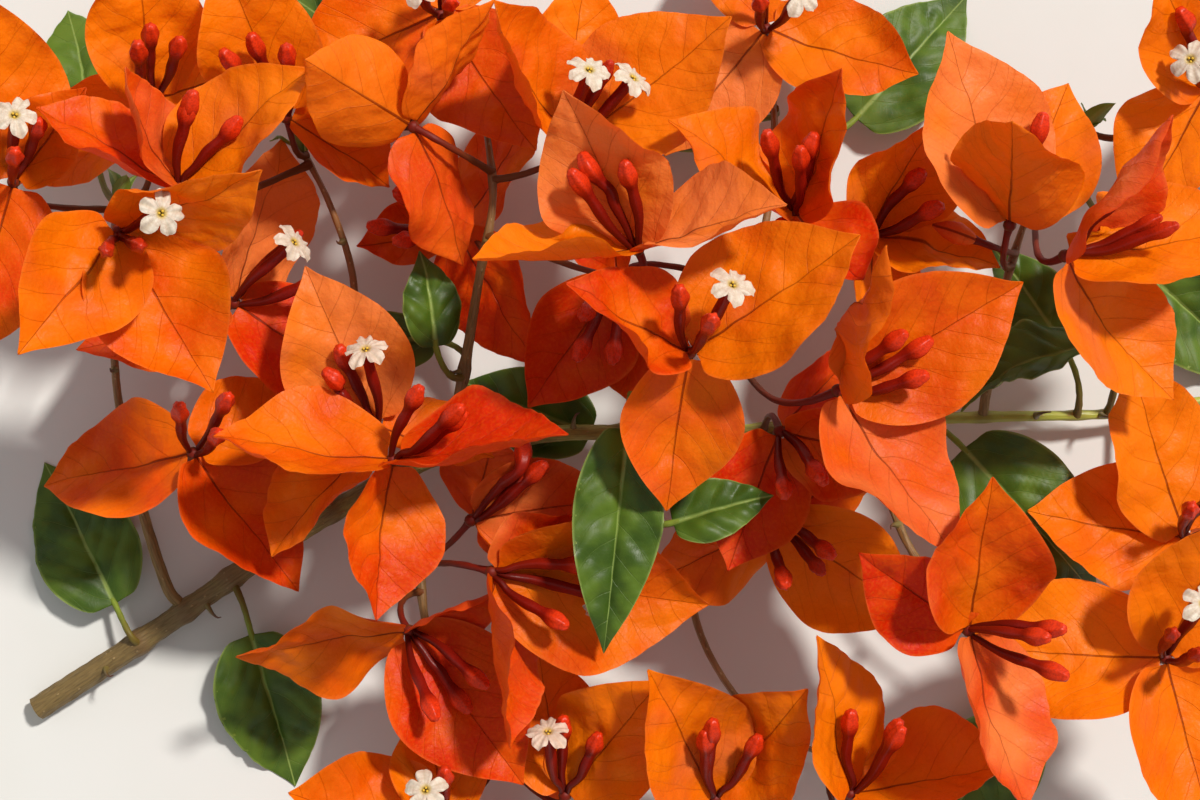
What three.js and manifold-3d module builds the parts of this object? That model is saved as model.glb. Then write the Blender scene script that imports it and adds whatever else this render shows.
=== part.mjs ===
// A cut, flowering branch of an orange bougainvillea, lying flat with its blooms facing up.
// Millimetres. +X runs to the right of the branch, +Y away from the viewer, +Z up off the surface it lies on.
import * as THREE from "three";
import { mergeVertices } from "three/addons/utils/BufferGeometryUtils.js";
import Module from "manifold-3d";

const wasm = await Module();
wasm.setup();

// Driving dimensions
const JOINT_GAP = 0.3; // between a stalk's end and the limb that carries it
const SURFACE_CLEARANCE = 0.3; // a blade's middle layer comes no closer to the ground than this
const BRACT = { widest: 0.4, thickness: 0.5, lobe: 0.06, stations: [0, 0.12, 0.3, 0.56, 0.82, 1] };
const BRACT_WIDTH = 0.76; // of its length
const BRACT_START = 1.2; // from the middle of the bloom
const LEAF = { widest: 0.36, thickness: 0.6, lobe: 0.04, stations: [0, 0.09, 0.32, 0.6, 0.84, 1] };
const ACROSS = [-1, 0, 1]; // a blade's rims and its midrib
const TUBE_LENGTH = 22;
const TUBE_LEAN = 15; // degrees between a flower tube and the bloom's axis
const TUBE_SIDES = 3;
const BUD_PROFILE = [[0, 0.55], [0.5, 1.1], [0.82, 0.9], [0.91, 1.6], [1, 0.7]];
const STAR_PROFILE = [[0, 0.55], [0.5, 1.1], [1, 1.15]];
const STAR = { outer: 4.8, inner: 2.3, thickness: 1.3, lobes: 5 };
const HEART_RADIUS = 2; // where the bracts, tubes and stalk of one bloom meet
const STALK = { base: 0.9, top: 1.1, sides: 3, steps: 3 };
const SHOOT_HEEL = 3; // a shoot's first stretch, square to the cane
const SEAT_SEARCH = 200; // places tried along a limb when a stalk looks for its nearest point
const PETIOLE = { base: 1, top: 1, sides: 3, steps: 3 };

const PETIOLE_OVERLAP = 1.5; // how far a petiole runs into its leaf
const STALK_REACH = 12; // how far back from its bloom a stalk aims before it turns to its limb
const STALK_PULL = 0.38; // how far its bend reaches, as a share of its length
const SEED_OF_LEAVES = 100;

const ORANGE = 0xf25c05;
const GREEN = 0x3f6b22;
const WOOD = 0x6b5a34;
const SHOOT = 0x7a6a35;

// Limbs: name, radius at the foot, radius at the tip, sides, then the points that the middle runs through.
// The first of a shoot's points only says where on the cane it starts, and which way.
const LIMBS = [
  ["main_cane", 2.8, 0.9, 8, [[-133, -73, 2.8], [-104, -54, 5], [-72, -32, 8], [-40, -14, 10], [-12, -8, 11],
    [25, -8, 11], [60, -5, 10], [90, -4, 9], [122, -3, 8], [142, 0, 5]]],
  ["shoot_a", 1.4, 0.6, 6, [[-35, -7, 16], [-31, 6, 28], [-27, 28, 37], [-24, 44, 40], [-25, 57, 37], [-28, 70, 28]]],
  ["shoot_b", 1.3, 0.6, 6, [[-64, -22, 12], [-60, 0, 18], [-56, 26, 28], [-61, 44, 32], [-67, 56, 32]]],
  ["shoot_c", 1.4, 0.6, 6, [[-101, -45, 8], [-108, -22, 10], [-112, 2, 15], [-112, 24, 20], [-110, 46, 24]]],
  ["shoot_d", 1.4, 0.6, 6, [[28, -3, 15], [30, 12, 20], [36, 32, 24], [40, 54, 22], [40, 74, 16]]],
  ["shoot_e", 1.2, 0.6, 6, [[90, 0, 13], [91, 14, 24], [92, 27, 32], [98, 45, 34], [110, 62, 30]]],
  ["shoot_f", 1.2, 0.6, 6, [[66, -10, 12], [66, -20, 22], [72, -36, 28], [88, -50, 30], [108, -58, 28]]],
  ["shoot_g", 1.2, 0.6, 6, [[22, -14, 11], [20, -32, 12], [24, -56, 10], [38, -76, 8], [54, -84, 6]]],
  ["shoot_h", 1.2, 0.6, 6, [[-43, -21, 11], [-42, -34, 18], [-40, -52, 20], [-34, -70, 16], [-22, -84, 10]]],
];

// Blooms: the limb that carries it, its heart, the heading and rise that its flower tubes take,
// the state of its three flowers, then its three bracts, each with heading, rise, length and roll.
// Headings turn from +X towards +Y, and rises lift towards +Z, all in degrees. A last number is the share of
// the limb's length at which the stalk starts, where that isn't the place nearest to the bloom.
const BLOOMS = [
  ["main_cane", [19, 10, 72], [72, 55], "star bud bud", [[35, 12, 43], [263, -8, 34], [146, 38, 34]]],
  ["shoot_d", [51, 2, 66], [26, 24], "bud bud bud", [[30, 2, 45], [308, 10, 42, 35], [71, 35, 37]]],
  ["shoot_a", [8, 32, 72], [119, 30], "bud bud bud", [[116, 24, 38], [184, 25, 37], [18, 30, 35]]],
  ["shoot_d", [43, 41, 50], [97, 45], "bud bud bud", [[80, 38, 36], [143, 25, 36], [310, 50, 30]]],
  ["shoot_d", [60, 37, 40], [40, 50], "bud bud bud", [[57, 35, 36], [348, 8, 29], [285, -8, 28]]],
  ["shoot_e", [89, 38, 58], [78, 22], "bud bud bud", [[108, 5, 43, -35], [95, 52, 36], [66, -20, 38]]],
  ["shoot_e", [100, 31, 64], [33, 25], "tube tube tube", [[52, 28, 38, -25], [10, 0, 42], [310, -12, 40, 35]], 0.7],
  ["shoot_e", [136, 70, 40], [120, 60], "bud star bud", [[124, 40, 36], [240, 10, 36], [0, -30, 38]]],
  ["shoot_f", [125, -57, 47], [70, 70], "tube tube star", [[175, 0, 44], [285, 8, 42], [70, 30, 38]]],
  ["main_cane", [132, -31, 34], [60, 70], "bud bud star", [[170, 8, 36], [108, 10, 42], [350, -30, 38]]],
  ["shoot_f", [80, -50, 59], [350, 35], "bud bud bud", [[84, 26, 36, -40], [290, 8, 40, 5], [147, 22, 30, -40]]],
  ["shoot_h", [-24, -38, 47], [345, 22], "star bud bud", [[350, -2, 48], [277, 12, 38, 0], [25, 10, 26, -45]]],
  ["shoot_h", [-45, -13, 58], [50, 30], "bud bud bud", [[10, 20, 40], [170, 10, 38], [265, 10, 34]]],
  ["shoot_h", [-29, -27, 37], [51, 35], "bud bud tube", [[7, 12, 34, 65], [75, -45, 28], [330, -40, 30]]],
  ["shoot_h", [-43, -52, 35], [310, 30], "bud bud bud", [[307, 4, 42], [24, 26, 25], [190, 10, 38]]],
  ["main_cane", [40, -7, 42], [280, 60], "bud bud bud", [[250, 5, 32], [343, 15, 30], [40, -25, 28]]],
  ["shoot_g", [40, -28, 30], [300, 60], "tube bud bud", [[326, 8, 38], [206, 10, 34], [30, 5, 28]]],
  ["shoot_h", [-35, -97, 30], [80, 62], "star bud bud", [[165, 15, 36], [100, -20, 28], [300, -45, 36]]],
  ["shoot_h", [-8, -90, 28], [85, 40], "bud bud star", [[100, 2, 34], [54, 30, 38, 40], [260, -40, 36]]],
  ["shoot_g", [26, -90, 34], [80, 42], "bud bud bud", [[115, 32, 38, -40], [55, 32, 36, 40], [240, -40, 38]]],
  ["shoot_g", [56, -88, 40], [75, 35], "bud bud bud", [[100, 20, 38], [15, 12, 38], [330, 20, 34]]],
  ["shoot_a", [-6, 57, 50], [52, 45], "star star tube", [[38, 10, 43], [119, 35, 38], [85, -10, 38]]],
  ["shoot_a", [-36, 87, 34], [90, 75], "star bud bud", [[200, 5, 36], [305, 14, 38], [80, -35, 38]]],
  ["shoot_a", [-41, 60, 52], [150, -20], "bud bud bud", [[151, 42, 34], [285, -20, 32], [60, 5, 32]]],
  ["shoot_b", [-91, 46, 61], [57, 30], "bud bud bud", [[44, 14, 38], [150, 5, 34], [110, 25, 28]]],
  ["shoot_c", [-102, 36, 74], [0, 75], "star tube tube", [[16, 28, 37, 50], [302, 10, 39], [238, 35, 36]]],
  ["shoot_c", [-100, 67, 40], [70, 60], "bud bud bud", [[90, 32, 38], [210, 5, 34], [20, -8, 30]]],
  ["shoot_b", [-70, 63, 42], [110, 50], "bud bud bud", [[110, 32, 38], [190, -20, 24], [330, -20, 28]]],
  ["shoot_c", [-129, 48, 50], [60, 60], "star bud bud", [[95, 22, 42], [50, 15, 26], [255, 8, 40]]],
  ["shoot_c", [-83, 22, 30], [32, 25], "tube tube star", [[70, 3, 38], [330, 2, 38, 40], [195, 5, 36]]],
  ["shoot_b", [-50, -6, 40], [113, 40], "bud bud star", [[113, 18, 38], [230, 10, 36], [350, 0, 26]]],
  ["shoot_a", [-33, 39, 24], [170, 45], "bud bud bud", [[190, 10, 22], [300, 5, 36], [60, 5, 34]]],
  ["shoot_d", [4, 27, 36], [250, 50], "bud bud bud", [[235, 0, 34], [295, -5, 34], [100, -20, 28]]],
  ["shoot_d", [38, 85, 24], [90, 70], "star bud bud", [[342, 18, 36], [230, 5, 36], [100, -25, 34]]],
  ["shoot_c", [-92, -12, 32], [60, 60], "bud bud bud", [[190, -15, 38], [310, 5, 38], [30, -20, 28]]],
];

// Leaves: the limb that carries it, where its blade starts, heading, rise, length, width, roll.
const LEAVES = [
  ["main_cane", [6, -6, 59], 264, -2, 50, 20, 0],
  ["main_cane", [16, -27, 51], 16, 0, 23, 14, -15],
  ["main_cane", [110, 12, 36], 201, 0, 32, 17, 50],
  ["main_cane", [106, 13, 22], 125, 0, 28, 17, 0],
  ["main_cane", [83, -11, 26], 312, 0, 47, 29, 0],
  ["shoot_a", [-37, 12, 36], 98, 0, 22, 14, 20],
  ["shoot_a", [-38, 14, 17], 175, 0, 24, 15, -20],
  ["shoot_c", [-118, 62, 12], 105, -30, 38, 24, 0],
  ["shoot_a", [-45, 76, 11], 145, -25, 40, 25, 0],
  ["shoot_d", [35, 66, 8], 170, -4, 34, 24, 10],
  ["shoot_d", [60, 66, 7], 48, -12, 42, 26, 0],
  ["main_cane", [-2, -8, 6], 158, -8, 34, 21, 0],
  ["shoot_e", [128, 30, 8], 320, -20, 40, 25, 0],
  ["shoot_f", [100, -74, 8], 235, -22, 38, 24, 0],
  ["main_cane", [-82, -55, 6], 285, -14, 40, 25, 0],
  ["main_cane", [-114, -48, 6], 118, -14, 40, 25, 0],
];

// A repeatable number from -1 to 1 for a seed and a channel.
function vary(seed, channel) {
  const x = Math.sin(seed * 12.9898 + channel * 78.233) * 43758.5453;
  return 2 * (x - Math.floor(x)) - 1;
}

function direction(heading, rise) {
  const h = THREE.MathUtils.degToRad(heading);
  const r = THREE.MathUtils.degToRad(rise);
  return new THREE.Vector3(Math.cos(r) * Math.cos(h), Math.cos(r) * Math.sin(h), Math.sin(r));
}

// The part of v that is square to the unit vector axis, with length 1.
function squareTo(v, axis) {
  return v.clone().addScaledVector(axis, -v.dot(axis)).normalize();
}

// Any unit vector square to the axis.
function anySide(axis) {
  return squareTo(Math.abs(axis.z) < 0.9 ? new THREE.Vector3(0, 0, 1) : new THREE.Vector3(1, 0, 0), axis);
}

// Points evenly round a centre, one for each radius, in the plane of two unit vectors.
function ring(centre, side, other, radii) {
  return radii.flatMap((radius, k) => {
    const angle = (2 * Math.PI * k) / radii.length;
    const out = side.clone().multiplyScalar(Math.cos(angle)).addScaledVector(other, Math.sin(angle));
    return out.multiplyScalar(radius).add(centre).toArray();
  });
}

function solidFrom(positions, triangles) {
  return new wasm.Manifold(
    new wasm.Mesh({
      numProp: 3,
      vertProperties: new Float32Array(positions),
      triVerts: new Uint32Array(triangles),
    }),
  );
}

// The outline's width as a share of the widest, at v from the foot of the blade to its tip.
function outline(v, widest) {
  const power = Math.log(0.5) / Math.log(widest);
  return Math.sin(Math.PI * v ** power) ** 0.8 * (1 - 0.3 * v ** 6);
}

// A blade's own frame: across it, along it from foot to tip, and out of the face that looks the way given.
function bladeFrame(foot, along, facing, roll) {
  const face = squareTo(facing, along).applyAxisAngle(along, THREE.MathUtils.degToRad(roll));
  return { foot, along, face, across: along.clone().cross(face) };
}

// A point of a blade's middle layer: u runs from -1 to 1 across, v from 0 to 1 along. The blade bows along
// its length, curls at the tip, is cupped and folded about its midrib, waves at its rims and twists.
function bladePoint(blade, frame, u, v) {
  const half = (blade.width / 2) * outline(v, blade.widest);
  const lobe = blade.lobe * blade.length * Math.abs(u) ** 1.5 * Math.exp(-((v / 0.16) ** 2));
  const bow = blade.bow * 4 * v * (1 - v) - blade.curl * Math.max(0, (v - 0.55) / 0.45) ** 2;
  const wave = blade.wave * u * u * Math.sin(2 * Math.PI * (1.4 * v + blade.phase + 0.25 * Math.sign(u)));
  const lift = blade.length * bow + half * (blade.cup * u * u + blade.fold * Math.abs(u)) + half * wave;
  const turn = blade.twist * (v - 0.3);
  const point = frame.foot.clone();
  point.addScaledVector(frame.across, half * u * Math.cos(turn));
  point.addScaledVector(frame.along, blade.length * v - lobe);
  point.addScaledVector(frame.face, lift + half * u * Math.sin(turn));
  point.z = Math.max(point.z, SURFACE_CLEARANCE);
  return point;
}

function bladeNormal(blade, frame, u, v) {
  const step = 0.02;
  const du = bladePoint(blade, frame, u + step, v).sub(bladePoint(blade, frame, u - step, v));
  const dv = bladePoint(blade, frame, u, Math.min(1, v + step)).sub(bladePoint(blade, frame, u, v - step));
  return du.cross(dv).normalize();
}

// A blade as a thin closed lens: two faces that share their rim.
function bladeSolid(blade, frame) {
  const positions = [];
  const triangles = [];
  const put = (p) => positions.push(p.x, p.y, p.z) / 3 - 1;
  const face = (a, b, c) => {
    if (a !== b && b !== c && a !== c) triangles.push(a, b, c);
  };
  const rows = blade.stations.map((v) => {
    if (v === 0 || v === 1) {
      const end = put(bladePoint(blade, frame, 0, v));
      return ACROSS.map(() => [end, end]);
    }
    return ACROSS.map((u) => {
      const middle = bladePoint(blade, frame, u, v);
      if (Math.abs(u) === 1) {
        const rim = put(middle);
        return [rim, rim];
      }
      const half = bladeNormal(blade, frame, u, v).multiplyScalar(blade.thickness / 2);
      return [put(middle.clone().add(half)), put(middle.clone().sub(half))];
    });
  });
  for (let j = 0; j + 1 < rows.length; j++) {
    for (let i = 0; i + 1 < ACROSS.length; i++) {
      const [a, b, c, d] = [rows[j][i], rows[j][i + 1], rows[j + 1][i + 1], rows[j + 1][i]];
      face(a[0], b[0], c[0]);
      face(a[0], c[0], d[0]);
      face(a[1], c[1], b[1]);
      face(a[1], d[1], c[1]);
    }
  }
  return solidFrom(positions, triangles);
}

// A closed tapering tube: profile holds [share of the curve, radius] pairs.
function tubeSolid(curve, profile, sides) {
  const positions = [];
  const triangles = [];
  let side = null;
  profile.forEach(([share, radius]) => {
    const centre = curve.getPointAt(share);
    const tangent = curve.getTangentAt(share);
    side = side ? squareTo(side, tangent) : anySide(tangent);
    positions.push(...ring(centre, side, tangent.clone().cross(side), Array(sides).fill(radius)));
  });
  for (let j = 0; j + 1 < profile.length; j++) {
    for (let k = 0; k < sides; k++) {
      const [a, b] = [j * sides + k, j * sides + ((k + 1) % sides)];
      triangles.push(a, b, b + sides, a, b + sides, a + sides);
    }
  }
  const last = (profile.length - 1) * sides;
  for (let k = 1; k + 1 < sides; k++) {
    triangles.push(0, k + 1, k, last, last + k, last + k + 1);
  }
  return solidFrom(positions, triangles);
}

function evenProfile(from, to, steps) {
  return Array.from({ length: steps + 1 }, (_, i) => [i / steps, from + ((to - from) * i) / steps]);
}

// The open end of a flower: a thin star of five lobes square to the tube.
function starSolid(centre, axis) {
  const side = anySide(axis);
  const radii = Array.from({ length: 2 * STAR.lobes }, (_, k) => (k % 2 ? STAR.inner : STAR.outer));
  const top = centre.clone().addScaledVector(axis, STAR.thickness / 2);
  const bottom = centre.clone().addScaledVector(axis, -STAR.thickness / 2);
  const rim = ring(centre, side, axis.clone().cross(side), radii);
  const triangles = radii.flatMap((_, k) => {
    const [a, b] = [2 + k, 2 + ((k + 1) % radii.length)];
    return [0, a, b, 1, b, a];
  });
  return solidFrom([...top.toArray(), ...bottom.toArray(), ...rim], triangles);
}

// The share of a limb's length at its nearest place to a point.
function nearestShare(limb, target) {
  const shares = Array.from({ length: SEAT_SEARCH - 3 }, (_, i) => (i + 2) / SEAT_SEARCH);
  const distances = shares.map((share) => limb.curve.getPointAt(share).distanceTo(target));
  return shares[distances.indexOf(Math.min(...distances))];
}

// Where a stalk that heads for a point leaves its limb: square to the limb, from its surface.
function seatOn(limb, target, share = nearestShare(limb, target)) {
  const centre = limb.curve.getPointAt(share);
  const out = squareTo(target.clone().sub(centre), limb.curve.getTangentAt(share));
  const radius = limb.foot + (limb.tip - limb.foot) * share;
  return { out, start: centre.addScaledVector(out, radius + JOINT_GAP) };
}

// All the limbs by name, each shoot seated on the cane.
function growLimbs() {
  const limbs = new Map();
  for (const [name, foot, tip, sides, route] of LIMBS) {
    const points = route.map((p) => new THREE.Vector3(...p));
    if (limbs.size) {
      const seat = seatOn(limbs.get("main_cane"), points.shift());
      points.unshift(seat.start, seat.start.clone().addScaledVector(seat.out, SHOOT_HEEL));
    }
    const curve = new THREE.CatmullRomCurve3(points);
    limbs.set(name, { name, foot, tip, sides, curve, steps: Math.round(1.5 * (points.length - 1)) });
  }
  return limbs;
}

const limbs = growLimbs();

// A stalk that leaves its limb squarely and arrives at the end along the given direction.
function stalkSolid(limb, end, arriving, size, share) {
  const seat = seatOn(limb, end.clone().addScaledVector(arriving, -STALK_REACH), share);
  const pull = STALK_PULL * seat.start.distanceTo(end);
  const curve = new THREE.CubicBezierCurve3(
    seat.start,
    seat.start.clone().addScaledVector(seat.out, pull),
    end.clone().addScaledVector(arriving, -pull),
    end,
  );
  return tubeSolid(curve, evenProfile(size.base, size.top, size.steps), size.sides);
}

function bractBlade(length, seed, k) {
  return {
    ...BRACT,
    length,
    width: length * (BRACT_WIDTH + 0.05 * vary(seed, k)),
    bow: -0.05 + 0.05 * vary(seed, 10 + k),
    curl: 0.07 + 0.07 * vary(seed, 20 + k),
    cup: 0.28 + 0.16 * vary(seed, 30 + k),
    fold: 0.05 + 0.1 * vary(seed, 40 + k),
    wave: 0.16 + 0.08 * vary(seed, 50 + k),
    phase: vary(seed, 60 + k),
    twist: 0.35 * vary(seed, 70 + k),
  };
}

function leafBlade(length, width, seed) {
  return {
    ...LEAF,
    length,
    width,
    bow: 0.05 + 0.03 * vary(seed, 2),
    curl: 0.1 + 0.06 * vary(seed, 3),
    cup: -0.1 + 0.12 * vary(seed, 4),
    fold: 0.3 + 0.15 * vary(seed, 5),
    wave: 0.12 + 0.06 * vary(seed, 6),
    phase: vary(seed, 7),
    twist: 0.3 * vary(seed, 8),
  };
}

function flowerSolids(heart, axis, bractAlong, state, seed, k) {
  const lean = THREE.MathUtils.degToRad(TUBE_LEAN * (1 + 0.3 * vary(seed, 80 + k)));
  const side = squareTo(bractAlong, axis);
  const along = axis.clone().multiplyScalar(Math.cos(lean)).addScaledVector(side, Math.sin(lean));
  const length = TUBE_LENGTH * (1 + 0.12 * vary(seed, 90 + k));
  const curve = new THREE.CatmullRomCurve3([
    heart.clone().addScaledVector(side, 0.6),
    heart.clone().addScaledVector(along, 0.35 * length).addScaledVector(side, 1.4),
    heart.clone().addScaledVector(along, 0.7 * length).addScaledVector(side, 0.6),
    heart.clone().addScaledVector(along, length),
  ]);
  const tube = tubeSolid(curve, state === "bud" ? BUD_PROFILE : STAR_PROFILE, TUBE_SIDES);
  return state === "star" ? [tube, starSolid(curve.getPointAt(1), curve.getTangentAt(1))] : [tube];
}

function heartSolid(at) {
  const ball = new THREE.IcosahedronGeometry(HEART_RADIUS, 0).translate(...at);
  ball.deleteAttribute("normal");
  ball.deleteAttribute("uv");
  const merged = mergeVertices(ball, 1e-4);
  return solidFrom(merged.attributes.position.array, merged.index.array);
}

function bloomSolid([limb, at, faces, states, bracts, share], seed) {
  const heart = new THREE.Vector3(...at);
  const axis = direction(...faces);
  const pieces = [heartSolid(at)];
  bracts.forEach(([heading, rise, length, roll = 0], k) => {
    const along = direction(heading, rise);
    const frame = bladeFrame(heart.clone().addScaledVector(along, BRACT_START), along, axis, roll);
    pieces.push(bladeSolid(bractBlade(length, seed, k), frame));
    pieces.push(...flowerSolids(heart, axis, along, states.split(" ")[k], seed, k));
  });
  pieces.push(stalkSolid(limbs.get(limb), heart, axis, STALK, share));
  return pieces.reduce((whole, piece) => whole.add(piece));
}

function leafSolid([limb, at, heading, rise, length, width, roll], seed) {
  const foot = new THREE.Vector3(...at);
  const along = direction(heading, rise);
  const frame = bladeFrame(foot, along, new THREE.Vector3(0, 0, 1), roll);
  const inside = foot.clone().addScaledVector(along, PETIOLE_OVERLAP);
  const petiole = stalkSolid(limbs.get(limb), inside, along, PETIOLE);
  return bladeSolid(leafBlade(length, width, seed), frame).add(petiole);
}

function meshOf(name, solid, colour, roughness) {
  const { vertProperties, triVerts } = solid.getMesh();
  const geometry = new THREE.BufferGeometry();
  geometry.setAttribute("position", new THREE.BufferAttribute(vertProperties, 3));
  geometry.setIndex(new THREE.BufferAttribute(triVerts, 1));
  geometry.computeVertexNormals();
  const mesh = new THREE.Mesh(
    geometry,
    new THREE.MeshStandardMaterial({ color: colour, roughness, metalness: 0, flatShading: true }),
  );
  mesh.name = name;
  return mesh;
}

// The first one is 01.
function numbered(kind, i) {
  return `${kind}_${String(i + 1).padStart(2, "0")}`;
}

const branch = new THREE.Group();
for (const limb of limbs.values()) {
  const solid = tubeSolid(limb.curve, evenProfile(limb.foot, limb.tip, limb.steps), limb.sides);
  branch.add(meshOf(limb.name, solid, limb.name === "main_cane" ? WOOD : SHOOT, 0.8));
}
BLOOMS.forEach((row, i) => {
  branch.add(meshOf(numbered("bloom", i), bloomSolid(row, i + 1), ORANGE, 0.6));
});
LEAVES.forEach((row, i) => {
  branch.add(meshOf(numbered("leaf", i), leafSolid(row, SEED_OF_LEAVES + i + 1), GREEN, 0.5));
});

// The origin is the middle of the footprint, on the surface.
const box = new THREE.Box3().setFromObject(branch);
const middle = box.getCenter(new THREE.Vector3());
branch.position.set(-middle.x, -middle.y, -box.min.z);

export default branch;
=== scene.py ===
"""The looks of a cut bougainvillea branch: bracts, flowers, leaves and limbs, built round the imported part.

Measures are in millimetres, with +X to the branch's tip, +Y to its left and +Z up, before it is centred.
"""
import math

import bpy
import numpy as np
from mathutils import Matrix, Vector
from mathutils.kdtree import KDTree


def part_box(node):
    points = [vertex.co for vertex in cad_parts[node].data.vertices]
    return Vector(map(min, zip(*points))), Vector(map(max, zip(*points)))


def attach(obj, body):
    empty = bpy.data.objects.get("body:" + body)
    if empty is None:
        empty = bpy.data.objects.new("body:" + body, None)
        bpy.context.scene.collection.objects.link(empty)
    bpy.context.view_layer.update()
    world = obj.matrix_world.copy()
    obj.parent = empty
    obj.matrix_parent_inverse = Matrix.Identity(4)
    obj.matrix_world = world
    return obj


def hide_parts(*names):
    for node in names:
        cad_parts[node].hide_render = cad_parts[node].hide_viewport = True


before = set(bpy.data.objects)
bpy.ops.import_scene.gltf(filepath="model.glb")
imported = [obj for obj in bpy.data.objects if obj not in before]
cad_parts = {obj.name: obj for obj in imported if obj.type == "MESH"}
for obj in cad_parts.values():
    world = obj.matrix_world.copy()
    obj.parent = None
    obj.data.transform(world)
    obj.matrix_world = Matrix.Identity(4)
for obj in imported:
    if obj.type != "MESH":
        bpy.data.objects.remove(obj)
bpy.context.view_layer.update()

MM = 0.001  # metres in a millimetre
Z_UP = np.array([0.0, 0.0, 1.0])

# Driving dimensions, the same as the part's own
JOINT_GAP = 0.3
SURFACE_CLEARANCE = 0.3
BRACT_WIDTH = (0.76, 0.05)  # as a share of the length, and how much it varies
BRACT_START = 1.2
TUBE_LENGTH = 22
TUBE_LEAN = 15
SHOOT_HEEL = 3
SEAT_SEARCH = 200
PETIOLE_OVERLAP = 1.5
STALK_REACH = 12
STALK_PULL = 0.38
SEED_OF_LEAVES = 100
SOLID_STEPS = 1.5  # a plain limb's rings for each point of its route

# Blades, as in the part but thinner, with what the fine ones add. A pair is a middle value and its spread.
BRACT = {
    "widest": 0.4, "lobe": 0.06, "point": 0.3, "thickness": 0.32,
    "bow": (-0.05, 0.05), "curl": (0.07, 0.07), "cup": (0.28, 0.16), "fold": (0.05, 0.1),
    "wave": (0.16, 0.08), "phase": (0, 1), "twist": (0, 0.35),
    "vein_rise": 0.8, "vein_bend": 0.022, "vein_gap": 6.8,
    "quilt": 0.4, "groove": 0.3, "crease": 1.1, "crease_length": 15, "ruffle": 1.1, "ruffle_length": 13,
}
LEAF = {
    "widest": 0.36, "lobe": 0.04, "point": 0.25, "thickness": 0.5,
    "bow": (0.05, 0.03), "curl": (0.1, 0.06), "cup": (-0.1, 0.12), "fold": (0.3, 0.15),
    "wave": (0.12, 0.06), "phase": (0, 1), "twist": (0, 0.3),
    "vein_rise": 0.8, "vein_bend": 0.03, "vein_gap": 6.2,
    "quilt": 0.85, "groove": 0.5, "crease": 0.9, "crease_length": 12, "ruffle": 0.7, "ruffle_length": 9,
}
VARIED = ("bow", "curl", "cup", "fold", "wave", "phase", "twist")
OUTLINE_FULLNESS = 0.8
TIP_TAPER = 0.3
RIM_WAVES = 1.4
# Shares of a blade's length
LOBE_REACH = 0.16
NECK_REACH = 0.03
POINT_REACH = 0.1
CURL_FROM = 0.55
CURL_REACH = 0.45
TWIST_FROM = 0.3
# The finer relief of its middle layer
VEIN_WOBBLE = (0.3, 16)  # how much, and over what length
GROOVE_WIDTH = 0.9
CRINKLE = (0.3, 0.35)  # height and length, as shares of the creases'

# What the fine pieces add
BRACT_GRID = (27, 45)  # points across and along a bract
LEAF_GRID = (31, 45)
RIM_TIGHTNESS = 1.2  # how near to the rim the last row of points lies
TUBE_SIDES = 20
TUBE_RINGS = 28
HEART_RADII = [1.5, 1.5, 1.4]
BUD_RADII = [[0, 0.5], [0.12, 0.7], [0.3, 0.85], [0.55, 1.3], [0.68, 1.15], [0.74, 1.25], [0.82, 1.75],
             [0.9, 1.95], [0.96, 1.75], [1, 1.3]]
CLOSED_RADII = [[0, 0.5], [0.12, 0.7], [0.35, 1.0], [0.6, 1.4], [0.76, 1.25], [0.86, 1.6], [0.94, 1.6],
                [1, 0.9]]
STAR_RADII = [[0, 0.5], [0.12, 0.7], [0.35, 0.95], [0.6, 1.35], [0.85, 1.15], [1, 1.4]]
TUBE_ROUTE = [(0, 0.6), (0.35, 1.4), (0.7, 0.6), (1, 0)]  # share of its length, and how far it bows outwards
KNOB_FROM = 0.82  # share of the tube's length
KNOB_SHARPNESS = 50
RIB_DEPTH = (0.06, 0.09)  # on the tube, and how much more on its knob
CAP_TURNS = [20, 38, 54, 68, 80]  # degrees to which a bud's tip rounds off, ring by ring
OPEN_FLOWER = {
    "sides": 70, "rows": 10, "lobes": 5, "reach": 5.2, "waist": 2.6, "thickness": 0.45, "notch": 0.3,
    "uneven": 0.3, "rise": 0.7, "lip": 0.9, "crease": 0.5, "ruffle": 0.35, "throat": 0.75, "droop": 0.9,
}
ANTHERS = 3
ANTHER_RADII = [0.32, 0.32, 0.42]
STALK_SIDES = 12
STALK_STEP = 1.2
STALK_RADII = [[0, 1.25], [0.06, 0.85], [0.5, 0.7], [0.92, 0.8], [1, 1.1]]
PETIOLE_RADII = [[0, 1.35], [0.08, 0.9], [0.5, 0.7], [1, 0.75]]
TUBE_CLEARANCE = 0.8  # between a flower's tube and the middle of a bract
SHEET_GAP = 0.8  # between the middles of two bracts
FREE_FROM = (1, 5)  # a blade is held by its foot before these distances, and free after them
DEEP = {"own": 8.0, "other": 2.5}  # what runs deeper into a bract, of its own bloom or another, stays there
DEEP_FADE = 0.4
ASIDE_REACH = 1.5
FLOOR_SOFTNESS = 0.16  # the square of the height over which a blade levels out
YOUNG_LEAF = {
    "length": 8,
    "width": 0.45,  # as a share of the length
    "grid": (9, 15),
    "relief": {
        "thickness": 0.3, "quilt": 0.15, "groove": 0.1, "crease": 0.2, "ruffle": 0.15, "vein_gap": 2.5,
    },
}
SEED_OF_YOUNG_LEAVES = 300
BRACT_BUD = {
    "at": [82.5, 35.2, 50],
    "heading_and_rise": [160, 8],
    "sides": 18,
    "route": [(0, 0), (3, 0), (6.5, 1), (10, 2)],  # how far along, and how far down
    "radii": [[0, 0.9], [0.12, 1.7], [0.4, 2.5], [0.7, 1.9], [0.9, 0.9], [1, 0.25]],
}
BARK_STEP = 0.7  # between two rings of a limb
NODE_SWELL = 0.5
NODE_MOST = 0.8
NODE_REACH = 2.6
NODE_FROM = 2.4
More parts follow.
